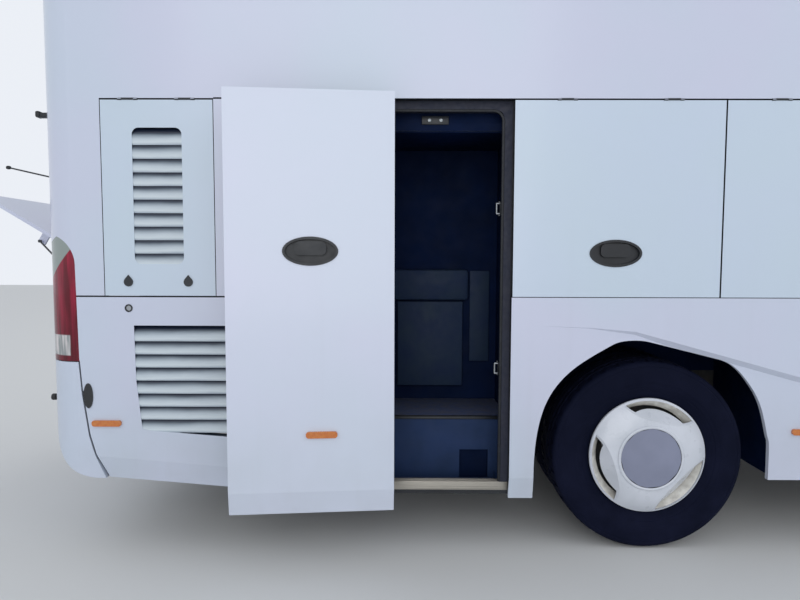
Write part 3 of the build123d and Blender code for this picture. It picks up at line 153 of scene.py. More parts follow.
def unevenSurface(name, tone, shade, rough, cloud=150, grain=0, depth=0.05, **values):
    material, tree, shader = newMaterial(name, Roughness=rough, **values)
    mixed = blendTones(tree, share(tree, spots(tree, cloud, 5), 0.35, 0.68), colour(tone), colour(shade))
    tree.links.new(mixed, shader.inputs["Base Color"])
    tree.links.new(
        share(tree, spots(tree, cloud / 3, 4), 0.3, 0.7, rough * 0.85, min(1, rough * 1.15)),
        shader.inputs["Roughness"],
    )
    if grain:
        giveBump(tree, shader, spots(tree, grain, 2), depth)
    return material


def coachEnamel(name, tone, dirt):  # two-pack enamel, sprayed on sheet: glossy over soft orange peel
    material, tree, shader = newMaterial(name, Coat_Weight=0.35, Coat_Roughness=0.12)
    z = axes(tree)["Z"]
    film = combine(tree, "MULTIPLY", share(tree, z, 1.0, 0.3), share(tree, spots(tree, 420, 6), 0.3, 0.75))
    runs = share(tree, spots(tree, 90, 4, (1, 1, 0.05)), 0.55, 0.85)
    streaks = combine(tree, "MULTIPLY", runs, share(tree, z, 2.0, 0.4, 0, 0.3))
    grime = combine(tree, "MULTIPLY", combine(tree, "ADD", film, streaks), dirt)
    panels = blendTones(tree, share(tree, spots(tree, 900, 2), 0.35, 0.65), colour(tone[0]), colour(tone[1]))
    painted = blendTones(tree, grime, panels, colour("#9AA09E"))
    tree.links.new(painted, shader.inputs["Base Color"])
    tree.links.new(share(tree, grime, 0, 0.6, 0.3, 0.62), shader.inputs["Roughness"])
    giveBump(tree, shader, spots(tree, 5, 1), 0.06)
    return material


slatPitch = 68


def slatEnamel(name, foot):  # the same enamel on louvre slats, with painted shade under each lap and a painted highlight on each slat's bulge
    material, tree, shader = newMaterial(name, Roughness=0.42, Coat_Weight=0.2)
    z = axes(tree)["Z"]
    pitch = slatPitch / 1000
    turns = combine(tree, "DIVIDE", combine(tree, "SUBTRACT", z, foot[0] / 1000), pitch)
    climb = addNode(tree, "ShaderNodeMath", {"operation": "FRACT"}, {0: turns}).outputs[0]
    last = foot[0] / 1000 + pitch * foot[1]
    # the top slat's head is painted dark: painted shade under the top edge of the opening
    climb = combine(tree, "MAXIMUM", climb, share(tree, z, last - 0.03, last, 0, 1))
    # film here is each slat's ramp position with a small random shift; the ramp below paints light and shade
    film = combine(tree, "ADD", climb, share(tree, spots(tree, 70, 4, (0.3, 1, 1)), 0.3, 0.7, -0.05, 0.05))
    band = addNode(tree, "ShaderNodeValToRGB", inputs={"Fac": film})
    # up each slat: painted shade on the down-facing foot, a painted highlight on the bulge, then painted shade
    # deepening into the lap under the slat above
    stops = (
        (0.0, "#A3AEBB"), (0.07, "#BECAD3"), (0.2, "#D3DDE3"), (0.45, "#B9C4CD"),
        (0.66, "#84909B"), (0.82, "#33404F"), (0.93, "#131D31"),
    )
    while len(band.color_ramp.elements) < len(stops):
        band.color_ramp.elements.new(0.5)
    for element, (at, tone) in zip(band.color_ramp.elements, stops):
        element.position = at
        element.color = colour(tone)
    tree.links.new(band.outputs[0], shader.inputs["Base Color"])
    return material


def dustyRubber(name, tone, dust, height):  # carbon-black rubber: matt, browned by road dust low down
    material, tree, shader = newMaterial(name, Roughness=0.8, Specular_IOR_Level=0.12)
    cloud = share(tree, spots(tree, 130, 6), 0.42, 0.72)
    low = share(tree, axes(tree)["Z"], height, 0.02, 0.15, 0.6)
    dusted = blendTones(tree, combine(tree, "MULTIPLY", cloud, low), colour(tone), colour(dust))
    tree.links.new(dusted, shader.inputs["Base Color"])
    giveBump(tree, shader, spots(tree, 3, 2), 0.25)
    return material


def lampLens(name):  # moulded acrylic: deep red with paler upright flutes, a clear foot and a grey cap
    material, tree, shader = newMaterial(name, Roughness=0.22, Coat_Weight=0.25, Specular_IOR_Level=0.3)
    x, y, z = (axes(tree)[k] for k in "XYZ")
    flutes = share(tree, spots(tree, 26, 3, (1, 1, 0.07)), 0.42, 0.7)
    red = blendTones(tree, flutes, colour("#64061C"), colour("#A81C3E"))
    dark = blendTones(tree, share(tree, z, 1.62, 1.1, 0, 0.55), red, colour("#4A0717"))
    facets = share(tree, spots(tree, 18, 2, (1, 1, 0.15)), 0.4, 0.7)
    clear = blendTones(tree, facets, colour("#8F9596"), colour("#D9D3D3"))
    inZone = combine(tree, "MULTIPLY", share(tree, z, 1.137, 1.131), share(tree, z, 1.026, 1.032))
    edge = place(-2990, 0, 0).x
    inZone = combine(tree, "MULTIPLY", inZone, share(tree, x, edge, edge - 0.004))
    lens = blendTones(tree, inZone, dark, clear)
    slope = combine(tree, "SUBTRACT", z, combine(tree, "MULTIPLY", combine(tree, "SUBTRACT", x, edge), 1.1))
    capped = blendTones(tree, share(tree, slope, 1.555, 1.56), lens, colour("#8D9794"))
    tree.links.new(capped, shader.inputs["Base Color"])
    giveBump(tree, shader, spots(tree, 9, 1, (1, 1, 0.04)), 0.5)
    return material


def wovenCloth(name, tone, fleck, thread):  # flat-woven moquette: matt, with a small woven figure
    material, tree, shader = newMaterial(name, Roughness=0.95, Sheen_Weight=0.4)
    here = addNode(tree, "ShaderNodeTexCoord").outputs["Object"]
    figure = addNode(
        tree, "ShaderNodeTexVoronoi", {"feature": "F1"}, {"Vector": here, "Scale": 1000 / 42}
    ).outputs["Distance"]
    mixed = blendTones(tree, share(tree, figure, 0.22, 0.3), colour(fleck), colour(tone))
    tree.links.new(mixed, shader.inputs["Base Color"])
    weave = addNode(tree, "ShaderNodeTexChecker", inputs={"Vector": here, "Scale": 1000 / thread})
    giveBump(tree, shader, weave.outputs["Fac"], 0.4)
    return material


def brushedMetal(name, tone, rough, along=(0.05, 1, 1)):  # drawn or brushed: fine lines along its length
    material, tree, shader = newMaterial(name, Metallic=0.85)
    lines = spots(tree, 4, 2, along)
    darker = tuple(c * 0.72 for c in colour(tone)[:3]) + (1,)
    tree.links.new(blendTones(tree, lines, colour(tone), darker), shader.inputs["Base Color"])
    tree.links.new(share(tree, lines, 0.3, 0.7, rough * 0.8, rough * 1.3), shader.inputs["Roughness"])
    giveBump(tree, shader, lines, 0.05)
    return material


def tintedGlass(name, tone, through):  # toughened glass with a grey body tint
    material, tree, shader = newMaterial(
        name, IOR=1.04, Transmission_Weight=through, Coat_Weight=0.8, Coat_Roughness=0.01
    )
    film = share(tree, spots(tree, 500, 5), 0.45, 0.8)
    dusted = blendTones(tree, share(tree, film, 0, 1, 0, 0.12), colour(tone), colour("#7C8688"))
    tree.links.new(dusted, shader.inputs["Base Color"])
    tree.links.new(share(tree, film, 0, 1, 0.0, 0.03), shader.inputs["Roughness"])
    return material


materials = {
    "body": coachEnamel("coachEnamel", ("#C7CBDE", "#C3CEDD"), 0.35),
    "flapBody": coachEnamel("flapEnamel", ("#C2CFDF", "#C1D0DC"), 0.3),
    "door": coachEnamel("doorEnamel", ("#CED2E4", "#CBD3E2"), 0.25),
    "slatUpper": slatEnamel("slatEnamelUpper", (1485, 10)),
    "slatLower": slatEnamel("slatEnamelLower", (628, 8)),
    "black": unevenSurface("mouldedBlackPlastic", "#15181D", "#1E2228", 0.42, grain=1.5, depth=0.12),
    "gloss": unevenSurface("glossBlackPlastic", "#101318", "#1A1E24", 0.15, Coat_Weight=0.6),
    "seal": unevenSurface("foamRubberSeal", "#0F1319", "#1C1F26", 0.62, cloud=40, grain=2, depth=0.1),
    "jamb": unevenSurface("rubberCoatedJamb", "#161D31", "#1E2132", 0.65, cloud=60, grain=2, depth=0.08),
    "grey": unevenSurface("greyPanelling", "#767C83", "#6B7178", 0.75, grain=1.2, depth=0.1),
    "primer": unevenSurface("greyPrimer", "#8E949B", "#7E848B", 0.6, cloud=90),
    "navy": unevenSurface(
        "navyLaminate", "#04132F", "#06193C", 0.7, cloud=260, grain=2, depth=0.05, Specular_IOR_Level=0.1
    ),
    "riser": unevenSurface(
        "blueLaminate", "#22365C", "#1D3050", 0.6, cloud=160, grain=2, depth=0.05, Specular_IOR_Level=0.2
    ),
    "slate": unevenSurface(
        "slateLaminate", "#1C2C49", "#233348", 0.6, cloud=120, grain=2, depth=0.05, Specular_IOR_Level=0.2
    ),
    "carpet": unevenSurface("needleFeltCarpet", "#3C486A", "#474C60", 0.98, cloud=45, grain=2.5, depth=0.9),
    "floor": unevenSurface("safetyFlooring", "#4A5058", "#565C63", 0.7, cloud=8, grain=1.5, depth=0.1),
    "aluminium": brushedMetal("millAluminium", "#BDB8AE", 0.42, (0.04, 1, 1)),
    "steel": brushedMetal("drawnSteel", "#A3A7AC", 0.32, (1, 1, 0.06)),
    "chrome": unevenSurface("chromePlate", "#C9CDD2", "#B4B8BE", 0.12, Metallic=1.0),
    "chassis": unevenSurface("chassisPaint", "#1D2024", "#34312D", 0.62, cloud=70, grain=3, depth=0.3),
    "iron": unevenSurface("castIron", "#43474B", "#55534F", 0.66, cloud=35, grain=4, depth=0.6),
    "alloy": unevenSurface("castAlloy", "#8B8F93", "#74787C", 0.5, cloud=25, grain=3, depth=0.4, Metallic=0.8),
    "hose": unevenSurface("rubberHose", "#14161A", "#24262A", 0.6, cloud=20),
    "clearLens": unevenSurface("acrylicClear", "#9EA7AD", "#B9C1C6", 0.08, cloud=60, Coat_Weight=1.0),
    "amber": unevenSurface(
        "acrylicAmber", "#BE6522", "#CA7A2E", 0.16, cloud=14, grain=6, depth=0.5, Coat_Weight=1.0
    ),
    "redLens": lampLens("acrylicRed"),
    "tyre": dustyRubber("tyreRubber", "#050A1F", "#151930", 1.1),
    "wheelWhite": unevenSurface("wheelEnamel", "#CFD3DC", "#C3C8D0", 0.3, cloud=180, Coat_Weight=0.3),
    "gutter": unevenSurface("dustyEnamel", "#ECEAE2", "#C9C6BE", 0.7, cloud=40),
    "capGrey": unevenSurface("satinGreyEnamel", "#7A7F93", "#858AA0", 0.45, cloud=200),
    "moquette": wovenCloth("moquette", "#1E2A48", "#5A3B4C", 2.2),
    "vinyl": unevenSurface("headrestVinyl", "#2A2E36", "#22262D", 0.5, grain=2.5, depth=0.15),
    "plate": unevenSurface("reflectivePlate", "#D8D9D2", "#CFD0C8", 0.35, cloud=50),
    "glass": tintedGlass("tintedGlass", "#79868B", 0.95),
    "screen": tintedGlass("screenGlass", "#D0DBD8", 0.97),
}

finishes = {
    "chassis_frame": "chassis",
    "lower_floor": "floor",
    "upper_deck": "grey",
    "side_wall_right": "body",
    "side_wall_left": "body",
    "roof_shell": "body",
    "front_shell": "body",
    "rear_shell": "body",
    "bulkheads": "navy",
    "door_frames": "jamb",
    "tall_door_step": "riser",
    "windows": "glass",
    "windscreens": "screen",
    "front_bumper": "body",
    "rear_bumper": "body",
    "headlamps": "clearLens",
    "tail_lamps": "redLens",
    "marker_lamps": "amber",
    "mirrors": "black",
    "seats": "moquette",
    "dashboard": "black",
    "engine_block": "iron",
    "exhaust": "steel",
    "front_axle": "chassis",
    "rear_axle": "chassis",
    "tall_door": "door",
    "tall_door_arm": "steel",
    "front_door": "body",
    "front_door_glass": "glass",
    "front_door_arm": "steel",
    "engine_lid": "body",
    "strut_tubes": "gloss",
    "strut_rods": "gloss",
}
for hand in ("right", "left"):
    finishes[f"grille_flap_{hand}"] = "flapBody"
    finishes[f"locker_flap_rear_{hand}"] = "flapBody"
    finishes[f"locker_flap_front_{hand}"] = "flapBody"
    finishes[f"knuckle_{hand}"] = "iron"
    for end in ("front", "rear"):
        finishes[f"tyre_{end}_{hand}"] = "tyre"
        finishes[f"wheel_{end}_{hand}"] = "wheelWhite"
for node, finish in finishes.items():
    nodes[node].data.materials.clear()
    nodes[node].data.materials.append(materials[finish])


def paintFaces(node, rule):  # rule gives a finish for a face's middle in millimetres and its normal
    mesh = nodes[node].data
    order = {}
    for face in mesh.polygons:
        middle = (face.center - Vector((rearAxle, 0, 0))) * 1000
        finish = rule(middle, face.normal)
        if finish:
            if finish not in order:
                mesh.materials.append(materials[finish])
                order[finish] = len(mesh.materials) - 1
            face.material_index = order[finish]


def skinDepth(point):  # how far a point lies in from the side's outer skin
    lean = max(0, point.z - 2850) * 40 / 820
    return coach["half"] - lean - abs(point.y)


def inOval(point, centre, radii):
    return ((point.x - centre[0]) / radii[0]) ** 2 + ((point.z - centre[1]) / radii[1]) ** 2 < 1


def inBox(point, box):
    return box[0] < point.x < box[1] and box[2] < point.z < box[3]


def facesOut(point, normal):
    return normal.y * (1 if point.y > 0 else -1)


sideMarks = {  # x and z in millimetres from the rear axle
    "keyhole": (-2685, 1275),
    "sideLamp": (-2905, 821),
    "lowerLouvre": (-2690, -1720, 560, 1192),
    "archPanel": (-580, 2720, 0, 1192),
    "upperLouvre": (-2652, -2392, 1485, 2188),
    "handles": ((-212, 1560), (862, 1920)),
    "handleSize": (133, 70),
    "locks": ((-2682, 1412), (-2377, 1412)),
    "groove": 2323,
    "cupDepth": 21,
    "panelBack": 45.5,
}


def inGroove(point, normal):  # the slot that the flaps hang in
    high = abs(point.z - sideMarks["groove"]) < 8
    return high and skinDepth(point) < 8 and facesOut(point, normal) < 0.98


def paintWall(point, normal):
    marks = sideMarks
    depth = skinDepth(point)
    outwards = facesOut(point, normal)
    if inOval(point, marks["keyhole"], (22, 22)) and depth < marks["cupDepth"]:
        return "steel" if inOval(point, marks["keyhole"], (12.5, 12.5)) else "black"
    if inOval(point, marks["sideLamp"], (26, 67)) and depth < marks["cupDepth"]:
        return "gloss"
    if inGroove(point, normal):
        return "seal"
    if inBox(point, marks["lowerLouvre"]):
        if depth > 46:
            return "primer"
        return "slatLower" if depth > 0.5 else None
    if inBox(point, marks["archPanel"]):
        return "primer" if outwards < -0.7 and depth > 45 else None
    if outwards < -0.7 and depth > 40:
        return "grey"
    if depth > 2.5 and (depth > 30 or point.z > 520):
        return "seal"


def paintFlap(point, normal):
    marks = sideMarks
    depth = skinDepth(point)
    outwards = facesOut(point, normal)
    onHandle = any(inOval(point, centre, marks["handleSize"]) for centre in marks["handles"])
    onLock = any(inOval(point, centre, (25, 42)) for centre in marks["locks"])
    if depth < -1 or onHandle and depth < marks["cupDepth"] or onLock and depth < 0.2:
        return "black"
    if inGroove(point, normal):
        return "seal"
    if inBox(point, marks["upperLouvre"]) and 0.5 < depth < 27.5:
        return "slatUpper"
    if outwards < -0.7 and depth > 20:
        return "primer"
    if depth > 2.5 and abs(outwards) < 0.3:
        return "seal"


doorWay = {
    "column": (-1500, -1155),
    "pin": (-1178.69, -1120.09),
    "swing": -155,
    "turn": 160.4,
    "handle": (-1141.5, 1565),
}


def shutDoor(x, y):  # from where the tall door stands to where it shuts
    x, y = turnAbout(x, y, doorWay["column"], -doorWay["swing"])
    return turnAbout(x, y, doorWay["pin"], -doorWay["turn"])


def paintTallDoor(point, normal):
    x, y = shutDoor(point.x, point.y)
    shut = Vector((x, y, point.z))
    depth = coach["half"] + y
    spin = math.radians(-doorWay["turn"] - doorWay["swing"])
    outwards = -(normal.x * math.sin(spin) + normal.y * math.cos(spin))
    if inOval(shut, doorWay["handle"], sideMarks["handleSize"]) and depth < sideMarks["cupDepth"]:
        return "black"
    if depth < -0.5:
        return "amber"
    if depth > sideMarks["panelBack"]:
        return "steel"
    if outwards < -0.7:
        return "primer"
    if abs(outwards) < 0.3 and depth > 1:
        return "seal"


def paintFrontDoor(point, normal):
    depth = skinDepth(point)
    if depth > sideMarks["panelBack"]:
        return "steel"
    if normal.y > 0.7 and depth > 20:
        return "grey"
    if depth > 2.5:
        return "seal"


def paintMask(point, normal):  # the rebate that a windscreen is bonded into
    start = place(*point) - normal * 0.004
    if nodes["windscreens"].ray_cast(start, normal, distance=0.05)[0]:
        return "gloss"


def paintPane(point, normal):  # the edges of the panes are printed black
    if abs(normal.y) < 0.3 and (abs(normal.z) > 0.7 or normal.x < -0.7 or point.x < 7800):
        return "gloss" if point.x > -3100 or abs(normal.x) < 0.7 else None


wheelTrim = {"face": 1220, "cap": 156, "dome": 246, "rim": 300}  # outwards, then radii


def paintWheel(point, normal):
    near = min((0, coach["axleGap"]), key=lambda x: abs(point.x - x))
    radius = math.hypot(point.x - near, point.z - coach["wheelHeight"])
    out = abs(point.y) - wheelTrim["face"]
    if radius < wheelTrim["cap"] and out > 40:
        return "capGrey" if radius < wheelTrim["cap"] - 5 else "black"
    if wheelTrim["dome"] < radius < wheelTrim["rim"] and -60 < out < -1:
        return "gutter"
    # the barrel and disc behind the trim are painted dark cast-iron grey, partly as painted shade inside the
    # wheel
    if out < -12:
        return "iron"


tallLocker = {"box": (-1580, -705, 0, 2400), "back": -600, "niche": (-971, -812, 313, 477)}


def paintStep(point, normal):
    if point.y < -1150:
        return "black"
    # the niche's inner faces are painted dark navy, darker than the riser round it: painted shade inside the
    # recess
    if inBox(point, tallLocker["niche"]) and point.y > -1044:
        return "navy"


def paintDeck(point, normal):
    # inside the tall locker the deck takes the dark navy of the lining; the near-black tone is partly painted
    # shade under the deck
    if inBox(point, tallLocker["box"]) and point.y < tallLocker["back"]:
        return "navy"
    if normal.z > 0.7:
        return "carpet"


for hand in ("right", "left"):
    paintFaces(f"side_wall_{hand}", paintWall)
    for flap in ("grille_flap", "locker_flap_rear", "locker_flap_front"):
        paintFaces(f"{flap}_{hand}", paintFlap)
    for end in ("front", "rear"):
        paintFaces(f"wheel_{end}_{hand}", paintWheel)
paintFaces("tall_door", paintTallDoor)
paintFaces("upper_deck", paintDeck)
paintFaces("tall_door_step", paintStep)
paintFaces("front_door", paintFrontDoor)
paintFaces("front_shell", paintMask)
for node in ("windows", "windscreens"):
    paintFaces(node, paintPane)
print("materials are on")


def applyModifier(piece, kind, **settings):
    modifier = piece.modifiers.new(kind.lower(), kind)
    for key, value in settings.items():
        setattr(modifier, key, value)
    bpy.context.view_layer.objects.active = piece
    bpy.ops.object.modifier_apply(modifier=modifier.name)


def settle(piece, finish=None):  # the piece's place goes into its mesh
    bpy.ops.object.select_all(action="DESELECT")
    piece.select_set(True)
    bpy.context.view_layer.objects.active = piece
    bpy.ops.object.transform_apply(location=True, rotation=True, scale=True)
    if finish:
        piece.data.materials.clear()
        piece.data.materials.append(materials[finish])
    return piece


def addBlock(x, y, z, size, finish, soften=3, turn=(0, 0, 0)):
    bpy.ops.object.select_all(action="DESELECT")
    bpy.ops.mesh.primitive_cube_add(
        size=1, location=place(x, y, z), scale=[s / 1000 for s in size],
        rotation=[math.radians(a) for a in turn],
    )
    piece = bpy.context.object
    bpy.ops.object.transform_apply(location=False, rotation=False, scale=True)
    if soften:
        applyModifier(piece, "BEVEL", width=soften / 1000, segments=2, limit_method="NONE")
    return settle(piece, finish)


def addRod(start, end, radius, finish, sides=16, soften=0):
    first, last = place(*start), place(*end)
    way = last - first
    bpy.ops.object.select_all(action="DESELECT")
    bpy.ops.mesh.primitive_cylinder_add(
        vertices=sides, radius=radius / 1000, depth=way.length, location=(first + last) / 2,
        rotation=way.to_track_quat("Z", "Y").to_euler(),
    )
    piece = bpy.context.object
    if soften:
        applyModifier(piece, "BEVEL", width=soften / 1000, segments=2, limit_method="ANGLE")
    return settle(piece, finish)


def addRing(centre, radius, thick, way, finish, sides=32):
    bpy.ops.object.select_all(action="DESELECT")
    bpy.ops.mesh.primitive_torus_add(
        major_radius=radius / 1000, minor_radius=thick / 1000, major_segments=sides, minor_segments=10,
        location=place(*centre), rotation=Vector(way).to_track_quat("Z", "Y").to_euler(),
    )
    return settle(bpy.context.object, finish)


def joinPieces(pieces, name, body, angle=40):
    bpy.ops.object.select_all(action="DESELECT")
    for piece in pieces:
        piece.select_set(True)
    bpy.context.view_layer.objects.active = pieces[0]
    if len(pieces) > 1:
        bpy.ops.object.join()
    whole = bpy.context.view_layer.objects.active
    whole.name = whole.data.name = name
    bpy.ops.object.shade_smooth_by_angle(angle=math.radians(angle))
    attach(whole, body)
    return whole


def copyPiece(piece, x, y, z):
    twin = piece.copy()
    twin.data = piece.data.copy()
    bpy.context.scene.collection.objects.link(twin)
    twin.location = Vector((x, y, z)) / 1000
    return settle(twin)


tyreShape = {
    # across from the middle and out from the axle, one half
    "half": [
        (22, 503), (23, 490), (29, 490), (30, 502.5), (68, 501.5), (69, 488), (76, 488), (77, 500.5),
        (119, 498), (130, 495.5), (138, 491), (143, 484), (145.5, 472), (144.2, 469), (145.6, 466),
        (146.6, 452), (147.6, 436), (148.2, 420), (148.4, 402), (147.6, 386), (146.4, 383), (145.2, 381),
        (144.4, 370), (141, 359), (138.8, 357), (137.8, 350), (133.5, 342), (130, 336), (128.6, 331),
        (124, 320), (122.5, 312), (119, 307), (115, 301), (110.6, 288),
    ],
    "steps": 120,
    "sipeEvery": 3,
    "sipeDepth": 5,
}


def makeTyre(x, y, name, body):
    half = tyreShape["half"]
    line = half + [(-a, r) for a, r in reversed(half)]
    bpy.ops.object.select_all(action="DESELECT")
    bpy.ops.mesh.primitive_circle_add(vertices=len(line), radius=0.1)
    tyre = bpy.context.object
    mesh = tyre.data
    for vertex, (across, out) in zip(mesh.vertices, line):
        vertex.co = (0, across / 1000, -out / 1000)
    bpy.ops.object.mode_set(mode="EDIT")
    bpy.ops.mesh.select_all(action="SELECT")
    bpy.ops.mesh.spin(steps=tyreShape["steps"], angle=math.tau, center=(0, 0, 0), axis=(0, 1, 0))
    bpy.ops.mesh.select_all(action="SELECT")
    bpy.ops.mesh.remove_doubles(threshold=0.0002)
    bpy.ops.mesh.normals_make_consistent(inside=False)
    bpy.ops.mesh.select_all(action="DESELECT")
    bpy.ops.object.mode_set(mode="OBJECT")
    step = math.tau / tyreShape["steps"]
    for face in mesh.polygons:  # every third land of the shoulder ribs becomes a sipe
        turn = round((math.atan2(face.center.z, face.center.x) - step / 2) / step)
        across, out = abs(face.center.y) * 1000, math.hypot(face.center.x, face.center.z) * 1000
        onRib = out > 494 and (78 < across < 140 or 31 < across < 67)
        shift = 0 if across > 70 else 1
        face.select = onRib and turn % tyreShape["sipeEvery"] == shift
    bpy.ops.object.mode_set(mode="EDIT")
    bpy.ops.mesh.select_mode(type="FACE")
    bpy.ops.mesh.extrude_region_shrink_fatten(
        TRANSFORM_OT_shrink_fatten={"value": -tyreShape["sipeDepth"] / 1000}
    )
    bpy.ops.mesh.select_mode(type="VERT")
    bpy.ops.object.mode_set(mode="OBJECT")
    tyre.location = place(x, y, coach["wheelHeight"])
    settle(tyre, "tyre")
    return joinPieces([tyre], name, body, 30)


wheelLine = 1080
twinGap = 340
for hand, side in (("right", -1), ("left", 1)):
    front = makeTyre(coach["axleGap"], side * wheelLine, f"tyre_tread_front_{hand}", f"wheel_front_{hand}")
    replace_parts(front, f"tyre_front_{hand}")
    outer = makeTyre(0, side * wheelLine, f"tyre_tread_rear_{hand}", f"wheel_rear_{hand}")
    inner = makeTyre(0, side * (wheelLine - twinGap), f"tyre_tread_twin_{hand}", f"wheel_rear_{hand}")
    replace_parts(outer, f"tyre_rear_{hand}")
    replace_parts(inner, f"tyre_rear_{hand}")
print("tyres are made")


doorwayTrim = {
    "opening": (-1532, -778, 300, 2279),  # inner edge of the black frame, x and z
    "face": -1225,
    "bead": 14,
    "catches": ((-781, 1790), (-781, 958)),
}


def archedRing(x0, x1, z0, z1, y, wide, thick, corner, finish, foot):  # a rubber border, open at its foot
    bpy.ops.object.select_all(action="DESELECT")
    bpy.ops.mesh.primitive_plane_add(
        size=1, location=place((x0 + x1) / 2, y, (z0 + z1) / 2),
        scale=(1, 1, 1), rotation=(math.radians(90), 0, 0),
    )
    piece = bpy.context.object
    piece.scale = ((x1 - x0) / 1000, (z1 - z0) / 1000, 1)
    settle(piece)
    bpy.ops.object.mode_set(mode="EDIT")
    bpy.ops.mesh.select_all(action="SELECT")
    bpy.ops.mesh.bevel(offset=corner / 1000, segments=8, affect="VERTICES")
    bpy.ops.mesh.select_all(action="SELECT")
    bpy.ops.mesh.inset(thickness=wide / 1000)
    bpy.ops.mesh.delete(type="FACE")
    bpy.ops.mesh.select_all(action="SELECT")
    bpy.ops.mesh.bisect(plane_co=place(0, 0, foot), plane_no=(0, 0, 1), clear_inner=True)
    bpy.ops.object.mode_set(mode="OBJECT")
    applyModifier(piece, "SOLIDIFY", thickness=thick / 1000, offset=0)
    applyModifier(piece, "BEVEL", width=min(thick, wide) / 3500, segments=3, limit_method="ANGLE")
    return settle(piece, finish)


def makeDoorway():
    x0, x1, z0, z1 = doorwayTrim["opening"]
    face = doorwayTrim["face"]
    bead = doorwayTrim["bead"]
    seals = [
        archedRing(x0 - 6, x1 + 7, z0, z1 + 7, face + 3, bead, 12, 60, "seal", 362),
        archedRing(x0 - 30, x1 + 54, z0, z1 + 56, face + 2, 9, 10, 20, "seal", 340),
    ]
    joinPieces(seals, "doorway_seals", "coach")
    catches = []
    for x, z in doorwayTrim["catches"]:
        catches.append(addBlock(x - 4, -1185, z, (5, 34, 70), "black", 1.5))
        catches.append(addRod((x - 22, -1192, z + 26), (x - 22, -1192, z - 26), 5, "steel", 12))
        for end in (-26, 26):
            catches.append(addRod((x - 2, -1192, z + end), (x - 24, -1192, z + end), 5, "steel", 12))
            catches.append(addRod((x - 5, -1178, z + end * 1.3), (x - 9, -1178, z + end * 1.3), 5, "steel", 6))
    joinPieces(catches, "door_catches", "coach")
    sill = [
        addBlock(-1141, -1203, 356, (816, 50, 6), "aluminium", 1.5),
        addBlock(-1141, -1224.5, 338, (816, 5, 44), "aluminium", 1.5),
    ]
    for row in range(5):
        sill.append(addBlock(-1141, -1221 + row * 9, 360, (812, 4, 3), "aluminium", 0.8))
    for row in range(3):
        sill.append(addBlock(-1141, -1227, 350 - row * 11, (812, 3, 4), "aluminium", 0.8))
    joinPieces(sill, "sill_plate", "coach")
    mats = [
        addBlock(-1153, -1115, 317, (745, 128, 6), "carpet", 1.5),
        addBlock(-1141, -832, 661.5, (850, 424, 7), "carpet", 2),
        addBlock(-1141, -1049, 654, (852, 9, 12), "black", 2),
        addBlock(-1141, -1042, 663, (852, 20, 4), "black", 1),
    ]
    joinPieces(mats, "step_mats", "coach")
    lining = [
        addBlock(-817, -622, 1180, (118, 12, 556), "slate", 3),
        addBlock(-1120, -640, 1372, (470, 50, 190), "slate", 40),
        addBlock(-1120, -632, 1010, (400, 20, 520), "slate", 6),
        addBlock(-1141, -1158, 2268, (862, 10, 156), "navy", 2),
        addBlock(-1122, -1166, 2243, (140, 10, 44), "black", 4),
        # the locker's ceiling lining in dark navy; its near-black tone is partly painted shade under the deck
        addBlock(-1141, -895, 2186, (850, 530, 6), "navy", 1),
    ]
    for x in (-1152, -1092):
        lining.append(addRod((x, -1168, 2243), (x, -1174, 2243), 9, "clearLens", 20, 2))
    joinPieces(lining, "locker_lining", "coach")


makeDoorway()
print("doorway is fitted")


tailFittings = {
    "rest": (-3150, -1090, 2283, 74),
    "aerial": ((-3146, -900, 1955), (-3515, -900, 2038)),
    "pin": (-3100, -1040, 757, 130),
}


def makeTailFittings():
    x, y, z, reach = tailFittings["rest"]
    rest = [
        addBlock(x - reach / 2 + 12, y, z, (reach + 24, 34, 26), "black", 6),
        addBlock(x - reach + 6, y, z + 4, (24, 44, 34), "hose", 8),
        addBlock(x + 2, y, z, (12, 70, 60), "black", 4),
    ]
    joinPieces(rest, "lid_rest", "coach")
    foot, tip = tailFittings["aerial"]
    rod = [
        addRod(foot, tip, 4.5, "gloss", 12),
        addRod((foot[0] + 10, foot[1], foot[2] - 3), (foot[0] - 14, foot[1], foot[2] + 3), 22, "black", 24, 4),
        addBlock(tip[0], tip[1], tip[2], (26, 20, 20), "hose", 8),
    ]
    joinPieces(rod, "aerial", "coach")
    x, y, z, reach = tailFittings["pin"]
    pin = [
        addRod((x, y, z), (x - reach, y, z + 4), 13, "chassis", 20, 3),
        addRod((x - reach + 24, y, z + 4), (x - reach, y, z + 4), 18, "chassis", 20, 4),
    ]
    joinPieces(pin, "tow_pin", "coach")


makeTailFittings()
print("tail is fitted")


seatPlan = {
    "width": 455,
    "lean": -80,
    "pitch": 790,
    "upperStart": -2450,
    "upperRows": 13,
    "upperFloor": 2230,
    "lowerStart": 2000,
    "lowerRows": 4,
    "lowerFloor": 400,
    "rowMiddle": 710,
    "stair": (2580, 4760),
    "driver": (7560, 700),
}


padShape = {
    "edgeRound": 0.17,
    "edgeDraw": 0.045,
    "cornerDrop": 0.22,
    "channelWidth": 0.07,
    "channelDepth": 0.007,
    "seamAt": 0.35,
    "seamWidth": 0.06,
    "seamDepth": 0.005,
}


